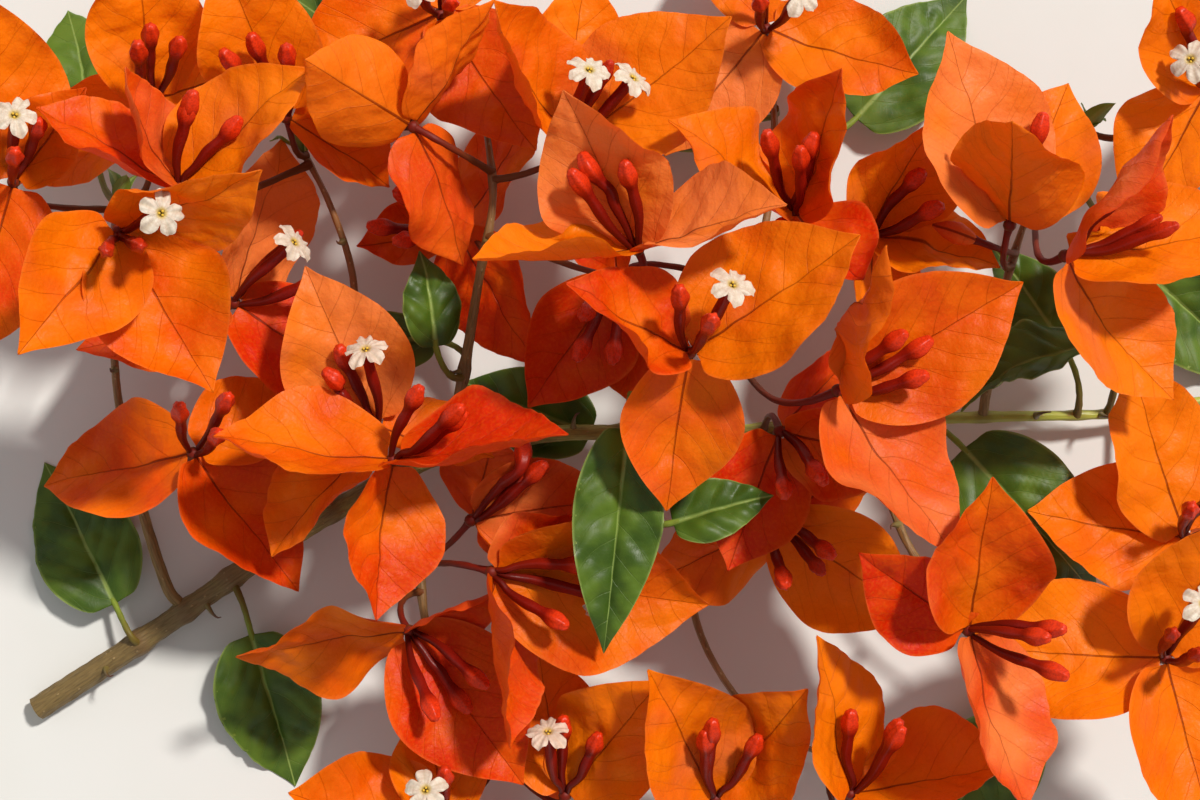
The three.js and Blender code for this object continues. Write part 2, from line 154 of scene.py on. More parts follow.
CANE = {"sides": 28, "thorns": 11, "thorn_run": 11.5, "thorn_length": 5.5, "slot": "cane_bark"}
SHOOT = {"sides": 16, "thorns": 2, "thorn_run": 2.6, "thorn_length": 3.5, "slot": "shoot_bark"}
THORN_RADII = [[0, 1.0], [0.2, 0.65], [1, 0.12]]
# The cut end's rings: their share of the radius, and how deep they lie
CUT_RINGS = [(0.93, 0), (0.86, 0.02), (0.58, 0.0), (0.3, 0.02), (0.24, 0.3), (0.12, 0.32), (0, 0.32)]
SHARP_ANGLE = 70
PROFILE_STEPS = np.linspace(0, 1, 401)
PROFILE_BLUR = 16

# Limbs: name, radius at the foot, radius at the tip, sides of the plain solid, then the route of the middle.
LIMBS = [
    ["main_cane", 2.8, 0.9, 8,
     [[-133, -73, 2.8], [-104, -54, 5], [-72, -32, 8], [-40, -14, 10], [-12, -8, 11], [25, -8, 11],
      [60, -5, 10], [90, -4, 9], [122, -3, 8], [142, 0, 5]]],
    ["shoot_a", 1.4, 0.6, 6,
     [[-35, -7, 16], [-31, 6, 28], [-27, 28, 37], [-24, 44, 40], [-25, 57, 37], [-28, 70, 28]]],
    ["shoot_b", 1.3, 0.6, 6,
     [[-64, -22, 12], [-60, 0, 18], [-56, 26, 28], [-61, 44, 32], [-67, 56, 32]]],
    ["shoot_c", 1.4, 0.6, 6,
     [[-101, -45, 8], [-108, -22, 10], [-112, 2, 15], [-112, 24, 20], [-110, 46, 24]]],
    ["shoot_d", 1.4, 0.6, 6,
     [[28, -3, 15], [30, 12, 20], [36, 32, 24], [40, 54, 22], [40, 74, 16]]],
    ["shoot_e", 1.2, 0.6, 6,
     [[90, 0, 13], [91, 14, 24], [92, 27, 32], [98, 45, 34], [110, 62, 30]]],
    ["shoot_f", 1.2, 0.6, 6,
     [[66, -10, 12], [66, -20, 22], [72, -36, 28], [88, -50, 30], [108, -58, 28]]],
    ["shoot_g", 1.2, 0.6, 6,
     [[22, -14, 11], [20, -32, 12], [24, -56, 10], [38, -76, 8], [54, -84, 6]]],
    ["shoot_h", 1.2, 0.6, 6,
     [[-43, -21, 11], [-42, -34, 18], [-40, -52, 20], [-34, -70, 16], [-22, -84, 10]]],
]

# Blooms, as in the part: the limb, the heart, the flowers' heading and rise, their states, then three bracts.
# A bract has a heading, a rise, a length and sometimes a roll. One bloom also has its stalk's place.
BLOOMS = [
    ["main_cane", [19, 10, 72], [72, 55], "star bud bud", [[35, 12, 43], [263, -8, 34], [146, 38, 34]]],
    ["shoot_d", [51, 2, 66], [26, 24], "bud bud bud", [[30, 2, 45], [308, 10, 42, 35], [71, 35, 37]]],
    ["shoot_a", [8, 32, 72], [119, 30], "bud bud bud", [[116, 24, 38], [184, 25, 37], [18, 30, 35]]],
    ["shoot_d", [43, 41, 50], [97, 45], "bud bud bud", [[80, 38, 36], [143, 25, 36], [310, 50, 30]]],
    ["shoot_d", [60, 37, 40], [40, 50], "bud bud bud", [[57, 35, 36], [348, 8, 29], [285, -8, 28]]],
    ["shoot_e", [89, 38, 58], [78, 22], "bud bud bud", [[108, 5, 43, -35], [95, 52, 36], [66, -20, 38]]],
    ["shoot_e", [100, 31, 64], [33, 25], "tube tube tube",
     [[52, 28, 38, -25], [10, 0, 42], [310, -12, 40, 35]], 0.7],
    ["shoot_e", [136, 70, 40], [120, 60], "bud star bud", [[124, 40, 36], [240, 10, 36], [0, -30, 38]]],
    ["shoot_f", [125, -57, 47], [70, 70], "tube tube star", [[175, 0, 44], [285, 8, 42], [70, 30, 38]]],
    ["main_cane", [132, -31, 34], [60, 70], "bud bud star", [[170, 8, 36], [108, 10, 42], [350, -30, 38]]],
    ["shoot_f", [80, -50, 59], [350, 35], "bud bud bud",
     [[84, 26, 36, -40], [290, 8, 40, 5], [147, 22, 30, -40]]],
    ["shoot_h", [-24, -38, 47], [345, 22], "star bud bud",
     [[350, -2, 48], [277, 12, 38, 0], [25, 10, 26, -45]]],
    ["shoot_h", [-45, -13, 58], [50, 30], "bud bud bud", [[10, 20, 40], [170, 10, 38], [265, 10, 34]]],
    ["shoot_h", [-29, -27, 37], [51, 35], "bud bud tube", [[7, 12, 34, 65], [75, -45, 28], [330, -40, 30]]],
    ["shoot_h", [-43, -52, 35], [310, 30], "bud bud bud", [[307, 4, 42], [24, 26, 25], [190, 10, 38]]],
    ["main_cane", [40, -7, 42], [280, 60], "bud bud bud", [[250, 5, 32], [343, 15, 30], [40, -25, 28]]],
    ["shoot_g", [40, -28, 30], [300, 60], "tube bud bud", [[326, 8, 38], [206, 10, 34], [30, 5, 28]]],
    ["shoot_h", [-35, -97, 30], [80, 62], "star bud bud", [[165, 15, 36], [100, -20, 28], [300, -45, 36]]],
    ["shoot_h", [-8, -90, 28], [85, 40], "bud bud star", [[100, 2, 34], [54, 30, 38, 40], [260, -40, 36]]],
    ["shoot_g", [26, -90, 34], [80, 42], "bud bud bud",
     [[115, 32, 38, -40], [55, 32, 36, 40], [240, -40, 38]]],
    ["shoot_g", [56, -88, 40], [75, 35], "bud bud bud", [[100, 20, 38], [15, 12, 38], [330, 20, 34]]],
    ["shoot_a", [-6, 57, 50], [52, 45], "star star tube", [[38, 10, 43], [119, 35, 38], [85, -10, 38]]],
    ["shoot_a", [-36, 87, 34], [90, 75], "star bud bud", [[200, 5, 36], [305, 14, 38], [80, -35, 38]]],
    ["shoot_a", [-41, 60, 52], [150, -20], "bud bud bud", [[151, 42, 34], [285, -20, 32], [60, 5, 32]]],
    ["shoot_b", [-91, 46, 61], [57, 30], "bud bud bud", [[44, 14, 38], [150, 5, 34], [110, 25, 28]]],
    ["shoot_c", [-102, 36, 74], [0, 75], "star tube tube", [[16, 28, 37, 50], [302, 10, 39], [238, 35, 36]]],
    ["shoot_c", [-100, 67, 40], [70, 60], "bud bud bud", [[90, 32, 38], [210, 5, 34], [20, -8, 30]]],
    ["shoot_b", [-70, 63, 42], [110, 50], "bud bud bud", [[110, 32, 38], [190, -20, 24], [330, -20, 28]]],
    ["shoot_c", [-129, 48, 50], [60, 60], "star bud bud", [[95, 22, 42], [50, 15, 26], [255, 8, 40]]],
    ["shoot_c", [-83, 22, 30], [32, 25], "tube tube star", [[70, 3, 38], [330, 2, 38, 40], [195, 5, 36]]],
    ["shoot_b", [-50, -6, 40], [113, 40], "bud bud star", [[113, 18, 38], [230, 10, 36], [350, 0, 26]]],
    ["shoot_a", [-33, 39, 24], [170, 45], "bud bud bud", [[190, 10, 22], [300, 5, 36], [60, 5, 34]]],
    ["shoot_d", [4, 27, 36], [250, 50], "bud bud bud", [[235, 0, 34], [295, -5, 34], [100, -20, 28]]],
    ["shoot_d", [38, 85, 24], [90, 70], "star bud bud", [[342, 18, 36], [230, 5, 36], [100, -25, 34]]],
    ["shoot_c", [-92, -12, 32], [60, 60], "bud bud bud", [[190, -15, 38], [310, 5, 38], [30, -20, 28]]],
]

# Shades of bracts: how warm, from yellow-orange at -1 to red at 1, and how pale. Partly own colour, partly
# painted light: light and peach paint lit bracts and highlights, deep and red paint shade
BRACT_TINTS_AND_PAINTED_LIGHT = {
    "light": (-0.8, 0.0),
    "warm": (-0.4, 0.1),
    "orange": (0.0, 0.0),
    "deep": (0.45, 0.0),
    "red": (0.85, 0.1),
    "salmon": (0.7, 0.85),
    "peach": (-0.4, 1.4),
}
SHADE_SPREAD = 0.2
# The three shades of each bloom, in the order of its bracts, as they look in the photograph, lit or shaded,
# so they hold painted light and shade as well as each bract's own colour
BLOOM_TINTS_AND_PAINTED_LIGHT = [
    "warm orange deep", "orange salmon warm", "peach light peach", "orange warm red", "light light warm",
    "peach light warm", "salmon light warm", "warm light orange", "light warm light", "warm light peach",
    "deep salmon red", "orange deep salmon", "red orange deep", "salmon deep orange", "deep red orange",
    "red deep red", "light orange deep", "orange warm deep", "orange warm orange", "warm orange deep",
    "light warm light", "warm orange light", "orange deep warm", "light deep warm", "warm deep salmon",
    "light orange warm", "light warm light", "light warm orange", "warm orange deep", "peach red deep",
    "peach orange warm", "deep red orange", "red deep red", "warm peach orange", "orange deep orange",
]

# Leaves, as in the part: the limb, where the blade starts, heading, rise, length, width, roll.
LEAVES = [
    ["main_cane", [6, -6, 59], 264, -2, 50, 20, 0],
    ["main_cane", [16, -27, 51], 16, 0, 23, 14, -15],
    ["main_cane", [110, 12, 36], 201, 0, 32, 17, 50],
    ["main_cane", [106, 13, 22], 125, 0, 28, 17, 0],
    ["main_cane", [83, -11, 26], 312, 0, 47, 29, 0],
    ["shoot_a", [-37, 12, 36], 98, 0, 22, 14, 20],
    ["shoot_a", [-38, 14, 17], 175, 0, 24, 15, -20],
    ["shoot_c", [-118, 62, 12], 105, -30, 38, 24, 0],
    ["shoot_a", [-45, 76, 11], 145, -25, 40, 25, 0],
    ["shoot_d", [35, 66, 8], 170, -4, 34, 24, 10],
    ["shoot_d", [60, 66, 7], 48, -12, 42, 26, 0],
    ["main_cane", [-2, -8, 6], 158, -8, 34, 21, 0],
    ["shoot_e", [128, 30, 8], 320, -20, 40, 25, 0],
    ["shoot_f", [100, -74, 8], 235, -22, 38, 24, 0],
    ["main_cane", [-82, -55, 6], 285, -14, 40, 25, 0],
    ["main_cane", [-114, -48, 6], 118, -14, 40, 25, 0],
]


def vary(seed, channel):
    """A repeatable number from -1 to 1. Each use has a channel of its own."""
    x = math.sin(seed * 12.9898 + channel * 78.233) * 43758.5453
    return 2 * (x - math.floor(x)) - 1


def unit(v):
    return v / np.linalg.norm(v)


def square_to(v, axis):
    """The part of v that is square to the unit vector axis, with length 1."""
    return unit(v - axis * np.dot(v, axis))


def any_side(axis):
    return square_to(Z_UP if abs(axis[2]) < 0.9 else np.array([1.0, 0.0, 0.0]), axis)


def turned(v, axis, degrees):
    """v turned about an axis that it is square to."""
    angle = math.radians(degrees)
    return v * math.cos(angle) + np.cross(axis, v) * math.sin(angle)


def direction(heading, rise):
    h, r = math.radians(heading), math.radians(rise)
    return np.array([math.cos(r) * math.cos(h), math.cos(r) * math.sin(h), math.sin(r)])


def circle(sides):
    return 2 * np.pi * np.arange(sides) / sides


class Curve:
    """A smooth curve that is read by shares of its length."""

    TABLE = np.linspace(0, 1, 201)

    def __init__(self, at):
        self.at = at
        steps = np.linalg.norm(np.diff(at(self.TABLE), axis=0), axis=1)
        self.lengths = np.concatenate([[0.0], np.cumsum(steps)])
        self.length = self.lengths[-1]

    def time(self, shares):
        return np.interp(np.atleast_1d(shares) * self.length, self.lengths, self.TABLE)

    def points(self, shares):
        return self.at(self.time(shares))

    def tangents(self, shares):
        t = self.time(shares)
        step = self.at(np.minimum(t + 1e-4, 1)) - self.at(np.maximum(t - 1e-4, 0))
        return step / np.linalg.norm(step, axis=1)[:, None]

    def at_share(self, share):
        return self.points(share)[0], self.tangents(share)[0]


def catmull_rom(route):
    """The centripetal curve through the points of a route."""
    p = np.asarray(route, float)
    padded = np.vstack([2 * p[0] - p[1], p, 2 * p[-1] - p[-2]])
    knots = np.sqrt(np.linalg.norm(np.diff(padded, axis=0), axis=1))

    def at(t):
        place = np.asarray(t, float) * (len(p) - 1)
        i = np.minimum(place.astype(int), len(p) - 2)
        w = (place - i)[:, None]
        a, b, c, d = (padded[i + k] for k in range(4))
        ka, kb, kc = (knots[i + k][:, None] for k in range(3))
        leaving = ((b - a) / ka - (c - a) / (ka + kb) + (c - b) / kb) * kb
        arriving = ((c - b) / kb - (d - b) / (kb + kc) + (d - c) / kc) * kb
        bend = 3 * (c - b) - 2 * leaving - arriving
        return b + w * (leaving + w * (bend + w * (2 * (b - c) + leaving + arriving)))

    return Curve(at)


def bezier(a, b, c, d):
    def at(t):
        t = np.asarray(t, float)[:, None]
        return a * (1 - t) ** 3 + 3 * b * t * (1 - t) ** 2 + 3 * c * t * t * (1 - t) + d * t**3

    return Curve(at)


def profile(pairs, shares):
    """A smooth curve of radii through [share, radius] pairs."""
    knots = np.array(pairs, float)
    straight = np.interp(PROFILE_STEPS, knots[:, 0], knots[:, 1])
    window = np.hanning(2 * PROFILE_BLUR + 1)
    soft = np.convolve(np.pad(straight, PROFILE_BLUR, mode="edge"), window / window.sum(), "valid")
    return np.interp(shares, PROFILE_STEPS, soft)


def sweep(curve, shares, radii, sides):
    """Rings of points round a curve. radii holds one number, or one for each side, for every ring."""
    radii = np.asarray(radii, float).reshape(len(shares), -1) * np.ones(sides)
    angles = circle(sides)
    rings = []
    side = None
    for centre, tangent, radius in zip(curve.points(shares), curve.tangents(shares), radii):
        side = any_side(tangent) if side is None else square_to(side, tangent)
        other = np.cross(tangent, side)
        out = np.outer(np.cos(angles), side) + np.outer(np.sin(angles), other)
        rings.append(centre + radius[:, None] * out)
    return np.array(rings)


class Shape:
    """A mesh in the making. A point's pattern reads its place, and its colour reads its mood."""

    def __init__(self):
        self.points, self.places, self.moods, self.faces, self.looks = [], [], [], [], []
        self.count = 0

    def put(self, points, places, mood):
        """Adds points of shape (..., 3) and returns their numbers."""
        shape = points.shape[:-1]
        flat = points.reshape(-1, 3)
        self.points.append(flat)
        self.places.append(np.broadcast_to(places, points.shape).reshape(-1, 3))
        self.moods.append(np.broadcast_to(mood, points.shape).reshape(-1, 3))
        numbers = self.count + np.arange(len(flat)).reshape(shape)
        self.count += len(flat)
        return numbers

    def face(self, corners, look):
        """Adds faces from an array of corners, dropping corners that fall together."""
        for row in corners.reshape(-1, corners.shape[-1]).tolist():
            kept = [a for k, a in enumerate(row) if a != row[k - 1]]
            if len(kept) > 2:
                self.faces.append(kept)
                self.looks.append(look)

    def strips(self, numbers, look, flip=False):
        """Faces between the neighbours of a grid of numbers."""
        a, b = numbers[:-1, :-1], numbers[:-1, 1:]
        c, d = numbers[1:, 1:], numbers[1:, :-1]
        self.face(np.stack([d, c, b, a] if flip else [a, b, c, d], -1), look)

    def wrap(self, numbers, look, flip=False):
        """Faces between the neighbours of a grid whose rows close round."""
        self.strips(np.concatenate([numbers, numbers[:, :1]], 1), look, flip)

    def make(self, name, materials):
        """The finished object, in metres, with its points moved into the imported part's frame."""
        used = sorted({a for face in self.faces for a in face})
        renumber = np.zeros(self.count, int)
        renumber[used] = np.arange(len(used))
        points = (np.vstack(self.points)[used] + SHIFT) * MM
        mesh = bpy.data.meshes.new(name)
        mesh.from_pydata(points.tolist(), [], [renumber[face].tolist() for face in self.faces])
        for title, values in (("place", self.places), ("mood", self.moods)):
            layer = mesh.attributes.new(title, "FLOAT_VECTOR", "POINT")
            layer.data.foreach_set("vector", np.vstack(values)[used].astype(np.float32).ravel())
        for material in materials:
            mesh.materials.append(material)
        mesh.polygons.foreach_set("material_index", self.looks)
        mesh.polygons.foreach_set("use_smooth", [True] * len(self.faces))
        mesh.set_sharp_from_angle(angle=math.radians(SHARP_ANGLE))
        mesh.update()
        piece = bpy.data.objects.new(name, mesh)
        bpy.context.scene.collection.objects.link(piece)
        return piece


def tube(shape, rings, lengths, look, mood, ends=(True, True)):
    """A tube from rings of points. Its place holds the way round, the way along and its share."""
    count, sides = rings.shape[:2]
    centres = rings.mean(1)
    reach = np.linalg.norm(rings - centres[:, None], axis=2)
    places = np.zeros((count, sides, 3))
    places[..., 0] = reach * np.sin(circle(sides))
    places[..., 1] = lengths[:, None]
    places[..., 2] = (lengths / lengths[-1])[:, None]
    numbers = shape.put(rings, places, mood)
    shape.wrap(numbers, look)
    for which, row in ((0, numbers[0]), (-1, numbers[-1])):
        if ends[which]:
            end_mood = np.asarray(mood).reshape(-1, 3)[which]
            middle = shape.put(centres[which][None], places[which].mean(0), end_mood)
            fan = np.stack([np.full(sides, middle[0]), row, np.roll(row, -1)], -1)
            shape.face(fan if which else fan[:, ::-1], look)
    return numbers


# Limbs and the seats on them

def limb_radius(limb, share):
    return limb["foot"] + (limb["tip"] - limb["foot"]) * share


def nearest_share(limb, target):
    shares = (np.arange(SEAT_SEARCH - 3) + 2) / SEAT_SEARCH
    distances = np.linalg.norm(limb["curve"].points(shares) - target, axis=1)
    return shares[int(np.argmin(distances))]


def seat_on(limb, target, share=None):
    """Where a stalk that heads for a point leaves its limb, and which way."""
    share = nearest_share(limb, target) if share is None else share
    centre, tangent = limb["curve"].at_share(share)
    out = square_to(target - centre, tangent)
    limb["seats"].append(share)
    return centre + out * (limb_radius(limb, share) + JOINT_GAP), out


def grow_limbs():
    limbs = {}
    for name, foot, tip, sides, route in LIMBS:
        points = [np.array(p, float) for p in route]
        if limbs:
            start, out = seat_on(limbs["main_cane"], points[0])
            points[:1] = [start, start + out * SHOOT_HEEL]
        limbs[name] = {
            "foot": foot,
            "tip": tip,
            "sides": sides,
            "curve": catmull_rom(points),
            "seats": [],
            "steps": round(SOLID_STEPS * (len(points) - 1)),
        }
    return limbs


def plain_box_corner(limb):
    """The lowest corner of a limb's plain solid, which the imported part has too."""
    shares = np.linspace(0, 1, limb["steps"] + 1)
    return sweep(limb["curve"], shares, limb_radius(limb, shares), limb["sides"]).reshape(-1, 3).min(0)


LIMB = grow_limbs()
SHIFT = np.array(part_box("main_cane")[0]) / MM - plain_box_corner(LIMB["main_cane"])


# Blades: bracts and leaves

def outline(v, widest):
    """Half a blade's width along its length, as a share of the most."""
    power = math.log(0.5) / math.log(widest)
    return np.sin(np.pi * np.clip(v, 0, 1) ** power) ** OUTLINE_FULLNESS * (1 - TIP_TAPER * v**6)


def blade_frame(foot, along, facing, roll):
    face = turned(square_to(facing, along), along, roll)
    return {"foot": foot, "along": along, "face": face, "across": np.cross(along, face)}


def ripple(x, y, seed, length):
    """Soft creases about as long as the length given, from -1 to 1."""
    total = 0
    for k in range(5):
        heading = math.pi * vary(seed, 200 + k)
        wave = 2 * math.pi / (length * (1 + 0.35 * vary(seed, 210 + k)))
        way = x * math.cos(heading) + y * math.sin(heading)
        total = total + np.sin(wave * way + 9 * vary(seed, 220 + k))
    return total / 5


def blade_middle(blade, placed, u, v):
    """The middle layer of a blade: the same bow, curl, cup, fold, wave and twist as the plain solid's."""
    half = blade["width"] / 2 * outline(v, blade["widest"])
    length = blade["length"]
    lobe = blade["lobe"] * length * np.abs(u) ** 1.5 * np.exp(-((v / LOBE_REACH) ** 2))
    lobe = lobe * (1 - np.exp(-((v / NECK_REACH) ** 2)))
    curl = blade["curl"] * np.maximum(0, (v - CURL_FROM) / CURL_REACH) ** 2
    bow = blade["bow"] * 4 * v * (1 - v) - curl
    wave = blade["wave"] * u * u * np.sin(2 * np.pi * (RIM_WAVES * v + blade["phase"] + 0.25 * np.sign(u)))
    lift = length * bow + half * (blade["cup"] * u * u + blade["fold"] * np.abs(u)) + half * wave
    turn = blade["twist"] * (v - TWIST_FROM)
    slim = 1 - blade["point"] * np.exp(-(((1 - v) / POINT_REACH) ** 2))
    point = placed["foot"] + (half * slim * u * np.cos(turn))[..., None] * placed["across"]
    point = point + (length * v - lobe)[..., None] * placed["along"]
    return point + (lift + half * slim * u * np.sin(turn))[..., None] * placed["face"]


def vein_phase(blade, x, y):
    """A number that runs to the tip. The side veins lie a quarter off its whole numbers, on either half."""
    wobble = VEIN_WOBBLE[0] * ripple(x, y, blade["seed"] + 3, VEIN_WOBBLE[1])
    return (y - blade["vein_rise"] * np.abs(x) - blade["vein_bend"] * x * x) / blade["vein_gap"] + wobble


def blade_relief(blade, u, v, x, y):
    """How far the middle layer stands out of its smooth form, by quilting between veins and by creases."""
    inside = np.clip(4 * v, 0, 1) * np.clip(5 * (1 - v), 0, 1)
    quilt = blade["quilt"] * (np.abs(np.sin(np.pi * (vein_phase(blade, x, y) + 0.25 * np.sign(x)))) - 0.5)
    groove = -blade["groove"] * np.exp(-((x / GROOVE_WIDTH) ** 2))
    crease = blade["crease"] * ripple(x, y, blade["seed"], blade["crease_length"])
    crinkle_height, crinkle_length = CRINKLE[0] * blade["crease"], CRINKLE[1] * blade["crease_length"]
    crinkle = crinkle_height * ripple(x, y, blade["seed"] + 2, crinkle_length)
    ruffle = blade["ruffle"] * np.abs(u) ** 3 * ripple(x, y, blade["seed"] + 1, blade["ruffle_length"])
    return inside * (quilt * np.clip(np.abs(x) / 2, 0, 1) + groove + crease + crinkle + ruffle)


class Sheet:
    """The middle layer of a finished bract, with its normals, for finding what comes near to it."""

    def __init__(self, middle, normal, far, bloom):
        self.middle = middle.reshape(-1, 3)
        self.normal = normal.reshape(-1, 3)
        self.far = far.ravel()
        self.bloom = bloom
        self.low = self.middle.min(0) - 1
        self.high = self.middle.max(0) + 1
        self.tree = KDTree(len(self.middle))
        for number, point in enumerate(self.middle):
            self.tree.insert(point, number)
        self.tree.balance()

    def near(self, points):
        """For each point: the nearest normal, the height along it, how far aside, and how free it is."""
        nearest = [self.tree.find(point)[1] for point in points]
        out = self.normal[nearest]
        apart = points - self.middle[nearest]
        height = (apart * out).sum(1)
        aside = np.linalg.norm(apart - height[:, None] * out, axis=1)
        return out, height, aside, self.far[nearest]


SHEETS = []


def softened(field):
    """A grid of vectors, evened out between neighbours."""
    for _ in range(2):
        for axis in (0, 1):
            ends = [(1, 1) if axis == other else (0, 0) for other in range(3)]
            padded = np.moveaxis(np.pad(field, ends, mode="edge"), axis, 0)
            field = np.moveaxis((padded[:-2] + 2 * padded[1:-1] + padded[2:]) / 4, 0, axis)
    return field


def kept_apart(points, far, bloom):
    """A blade's points, bent so that it lies on one side of every finished bract that it runs into."""
    flat = points.reshape(-1, 3).copy()
    far = far.ravel()
    for sheet in 3 * SHEETS:
        inside = np.all((flat > sheet.low) & (flat < sheet.high), axis=1)
        if not inside.any():
            continue
        deep = DEEP["own" if sheet.bloom == bloom else "other"]
        out, height, aside, free = sheet.near(flat[inside])
        hold = far[inside] * free * np.exp(-((aside / ASIDE_REACH) ** 2))
        side = 1 if (hold * np.sign(height)).sum() > 0 else -1
        lack = np.maximum(SHEET_GAP - side * height, 0)
        lack = lack * np.clip(((1 + DEEP_FADE) * deep - lack) / (DEEP_FADE * deep), 0, 1)
        push = np.zeros(flat.shape)
        push[inside] = (side * lack * hold)[:, None] * out
        flat = flat + softened(push.reshape(points.shape)).reshape(-1, 3)
    return flat.reshape(points.shape)


def above_floor(z, lowest):
    """Heights that level out softly towards the lowest one."""
    return lowest + (z - lowest + np.sqrt((z - lowest) ** 2 + FLOOR_SOFTNESS)) / 2


def blade_shape(shape, blade, placed, grid, look, mood, bloom=None):
    """A blade as a thin closed shell whose two faces share their rim."""
    across, along = grid
    s = np.linspace(0, 1, along)
    steps = np.linspace(-1, 1, across)
    steps[[1, -2]] *= 1 + RIM_TIGHTNESS / across
    u, v = np.meshgrid(steps, 0.5 * s + 0.25 * (1 - np.cos(np.pi * s)))
    x = u * blade["width"] / 2 * outline(v, blade["widest"])
    y = v * blade["length"]
    middle = blade_middle(blade, placed, u, v)

    def normals_of(points):
        n = np.cross(np.gradient(points, axis=1), np.gradient(points, axis=0))
        size = np.linalg.norm(n, axis=2, keepdims=True)
        return np.where(size > 1e-9, n / np.maximum(size, 1e-9), placed["face"])

    middle = middle + blade_relief(blade, u, v, x, y)[..., None] * placed["face"]
    far = np.clip((y - FREE_FROM[0]) / (FREE_FROM[1] - FREE_FROM[0]), 0, 1)
    middle = kept_apart(middle, far, bloom)
    middle[..., 2] = above_floor(middle[..., 2], SURFACE_CLEARANCE)
    half = blade["thickness"] / 2 * np.sqrt(np.clip(1 - u**4, 0, 1))[..., None]
    normal = normals_of(middle)
    places = np.stack([x, y, vein_phase(blade, x, y)], -1)
    warmth, pale = mood
    # The third number, how far across and signed by the face, marks the underside and the painted highlight
    # along the rim
    moods = np.stack([np.full_like(u, warmth), np.full_like(u, pale), np.abs(u)], -1)
    top = shape.put(middle + normal * half, places, moods)
    bottom = shape.put(middle - normal * half, places, moods * [1, 1, -1])
    bottom[:, [0, -1]] = top[:, [0, -1]]
    for row in (0, -1):
        top[row] = bottom[row] = top[row, across // 2]
    shape.strips(top, look)
    shape.strips(bottom, look, flip=True)
    if bloom is not None:
        SHEETS.append(Sheet(middle, normal, far, bloom))


def grown_blade(kind, length, width, seed, channels, own_seed):
    """One bract or leaf, with its own value for whatever varies."""
    blade = {**kind, "length": length, "width": width, "seed": own_seed}
    for name, channel in zip(VARIED, channels):
        middle, spread = kind[name]
        blade[name] = middle + spread * vary(seed, channel)
    return blade


def bract_blade(length, seed, k):
    width = length * (BRACT_WIDTH[0] + BRACT_WIDTH[1] * vary(seed, k))
    return grown_blade(BRACT, length, width, seed, range(10 + k, 80 + k, 10), 10 * seed + k)


def leaf_blade(length, width, seed):
    return grown_blade(LEAF, length, width, seed, range(2, 9), seed)


# Flowers

def ball(shape, centre, radii, look, mood, sides=12, rows=8):
    """A small rounded knob."""
    rise = np.linspace(-np.pi / 2, np.pi / 2, rows)[:, None]
    angle = circle(sides)
    parts = [np.cos(rise) * np.cos(angle), np.cos(rise) * np.sin(angle), np.sin(rise) * np.ones(sides)]
    unit_points = np.stack(parts, -1)
    numbers = shape.put(centre + unit_points * radii, unit_points, mood)
    numbers[0] = numbers[0, 0]
    numbers[-1] = numbers[-1, 0]
    shape.wrap(numbers, look)


def star_shape(shape, centre, axis, seed, look):
    """The open end of a flower: five notched, ruffled lobes round a yellow throat."""
    form = OPEN_FLOWER
    sides, rows = form["sides"], form["rows"]
    side = any_side(axis)
    other = np.cross(axis, side)
    angles = circle(sides)
    lobe = (angles * form["lobes"] / (2 * np.pi)) % 1 * 2 - 1  # -1 to 1 across each lobe
    reach = form["waist"] + (form["reach"] - form["waist"]) * np.maximum(np.cos(lobe * np.pi / 2), 0) ** 0.62
    reach = reach - form["notch"] * np.exp(-((lobe / 0.14) ** 2))
    reach = reach + form["uneven"] * np.sin(3 * angles + 9 * vary(seed, 4))
    share = np.linspace(0, 1, rows)[:, None]
    radius = share * reach
    rim = share**2 * (form["lip"] * np.abs(lobe) ** 1.5 - form["crease"] * np.exp(-((lobe / 0.25) ** 2)))
    ruffle = form["ruffle"] * share**3 * np.sin(15 * angles + 5 * vary(seed, 5))
    throat = form["throat"] * np.exp(-((radius / 0.8) ** 2))
    height = form["rise"] + rim + ruffle - throat - form["droop"] * share**3
    flat = np.cos(angles)[:, None] * side + np.sin(angles)[:, None] * other
    half = form["thickness"] / 2 * np.sqrt(1 - share**4) * np.ones(sides)
    base = centre + radius[..., None] * flat
    place = np.stack([radius, share * np.ones(sides), lobe * np.ones((rows, 1))], -1)
    mood = np.array([vary(seed, 6), 0, 1])
    top = shape.put(base + (height + half)[..., None] * axis, place, mood)
    bottom = shape.put(base + (height - half)[..., None] * axis, place, mood * [1, 1, -1])
    bottom[-1] = top[-1]
    top[0] = top[0, 0]
    bottom[0] = bottom[0, 0]
    shape.wrap(top, look, flip=True)
    shape.wrap(bottom, look)
    for k in range(ANTHERS):
        angle = 2.1 * k + vary(seed, 7)
        spot = centre + axis * (0.5 + 0.15 * k) + 0.45 * (math.cos(angle) * side + math.sin(angle) * other)
        ball(shape, spot, ANTHER_RADII, ANTHER, np.zeros(3), 8, 6)


def clear_of_bracts(point, need, bloom):
    """A point of a flower, moved off every bract that it would come too near to."""
    for sheet in 2 * SHEETS:
        if np.all((point > sheet.low - need) & (point < sheet.high + need)):
            out, height, aside, _ = (found[0] for found in sheet.near(point[None]))
            own = sheet.bloom == bloom
            behind = 0.6 * DEEP["own"] if own else 0
            side = 1 if own or height > 0 else -1
            if -behind < side * height < need and aside < need:
                point = point + side * out * (need - side * height)
    return point


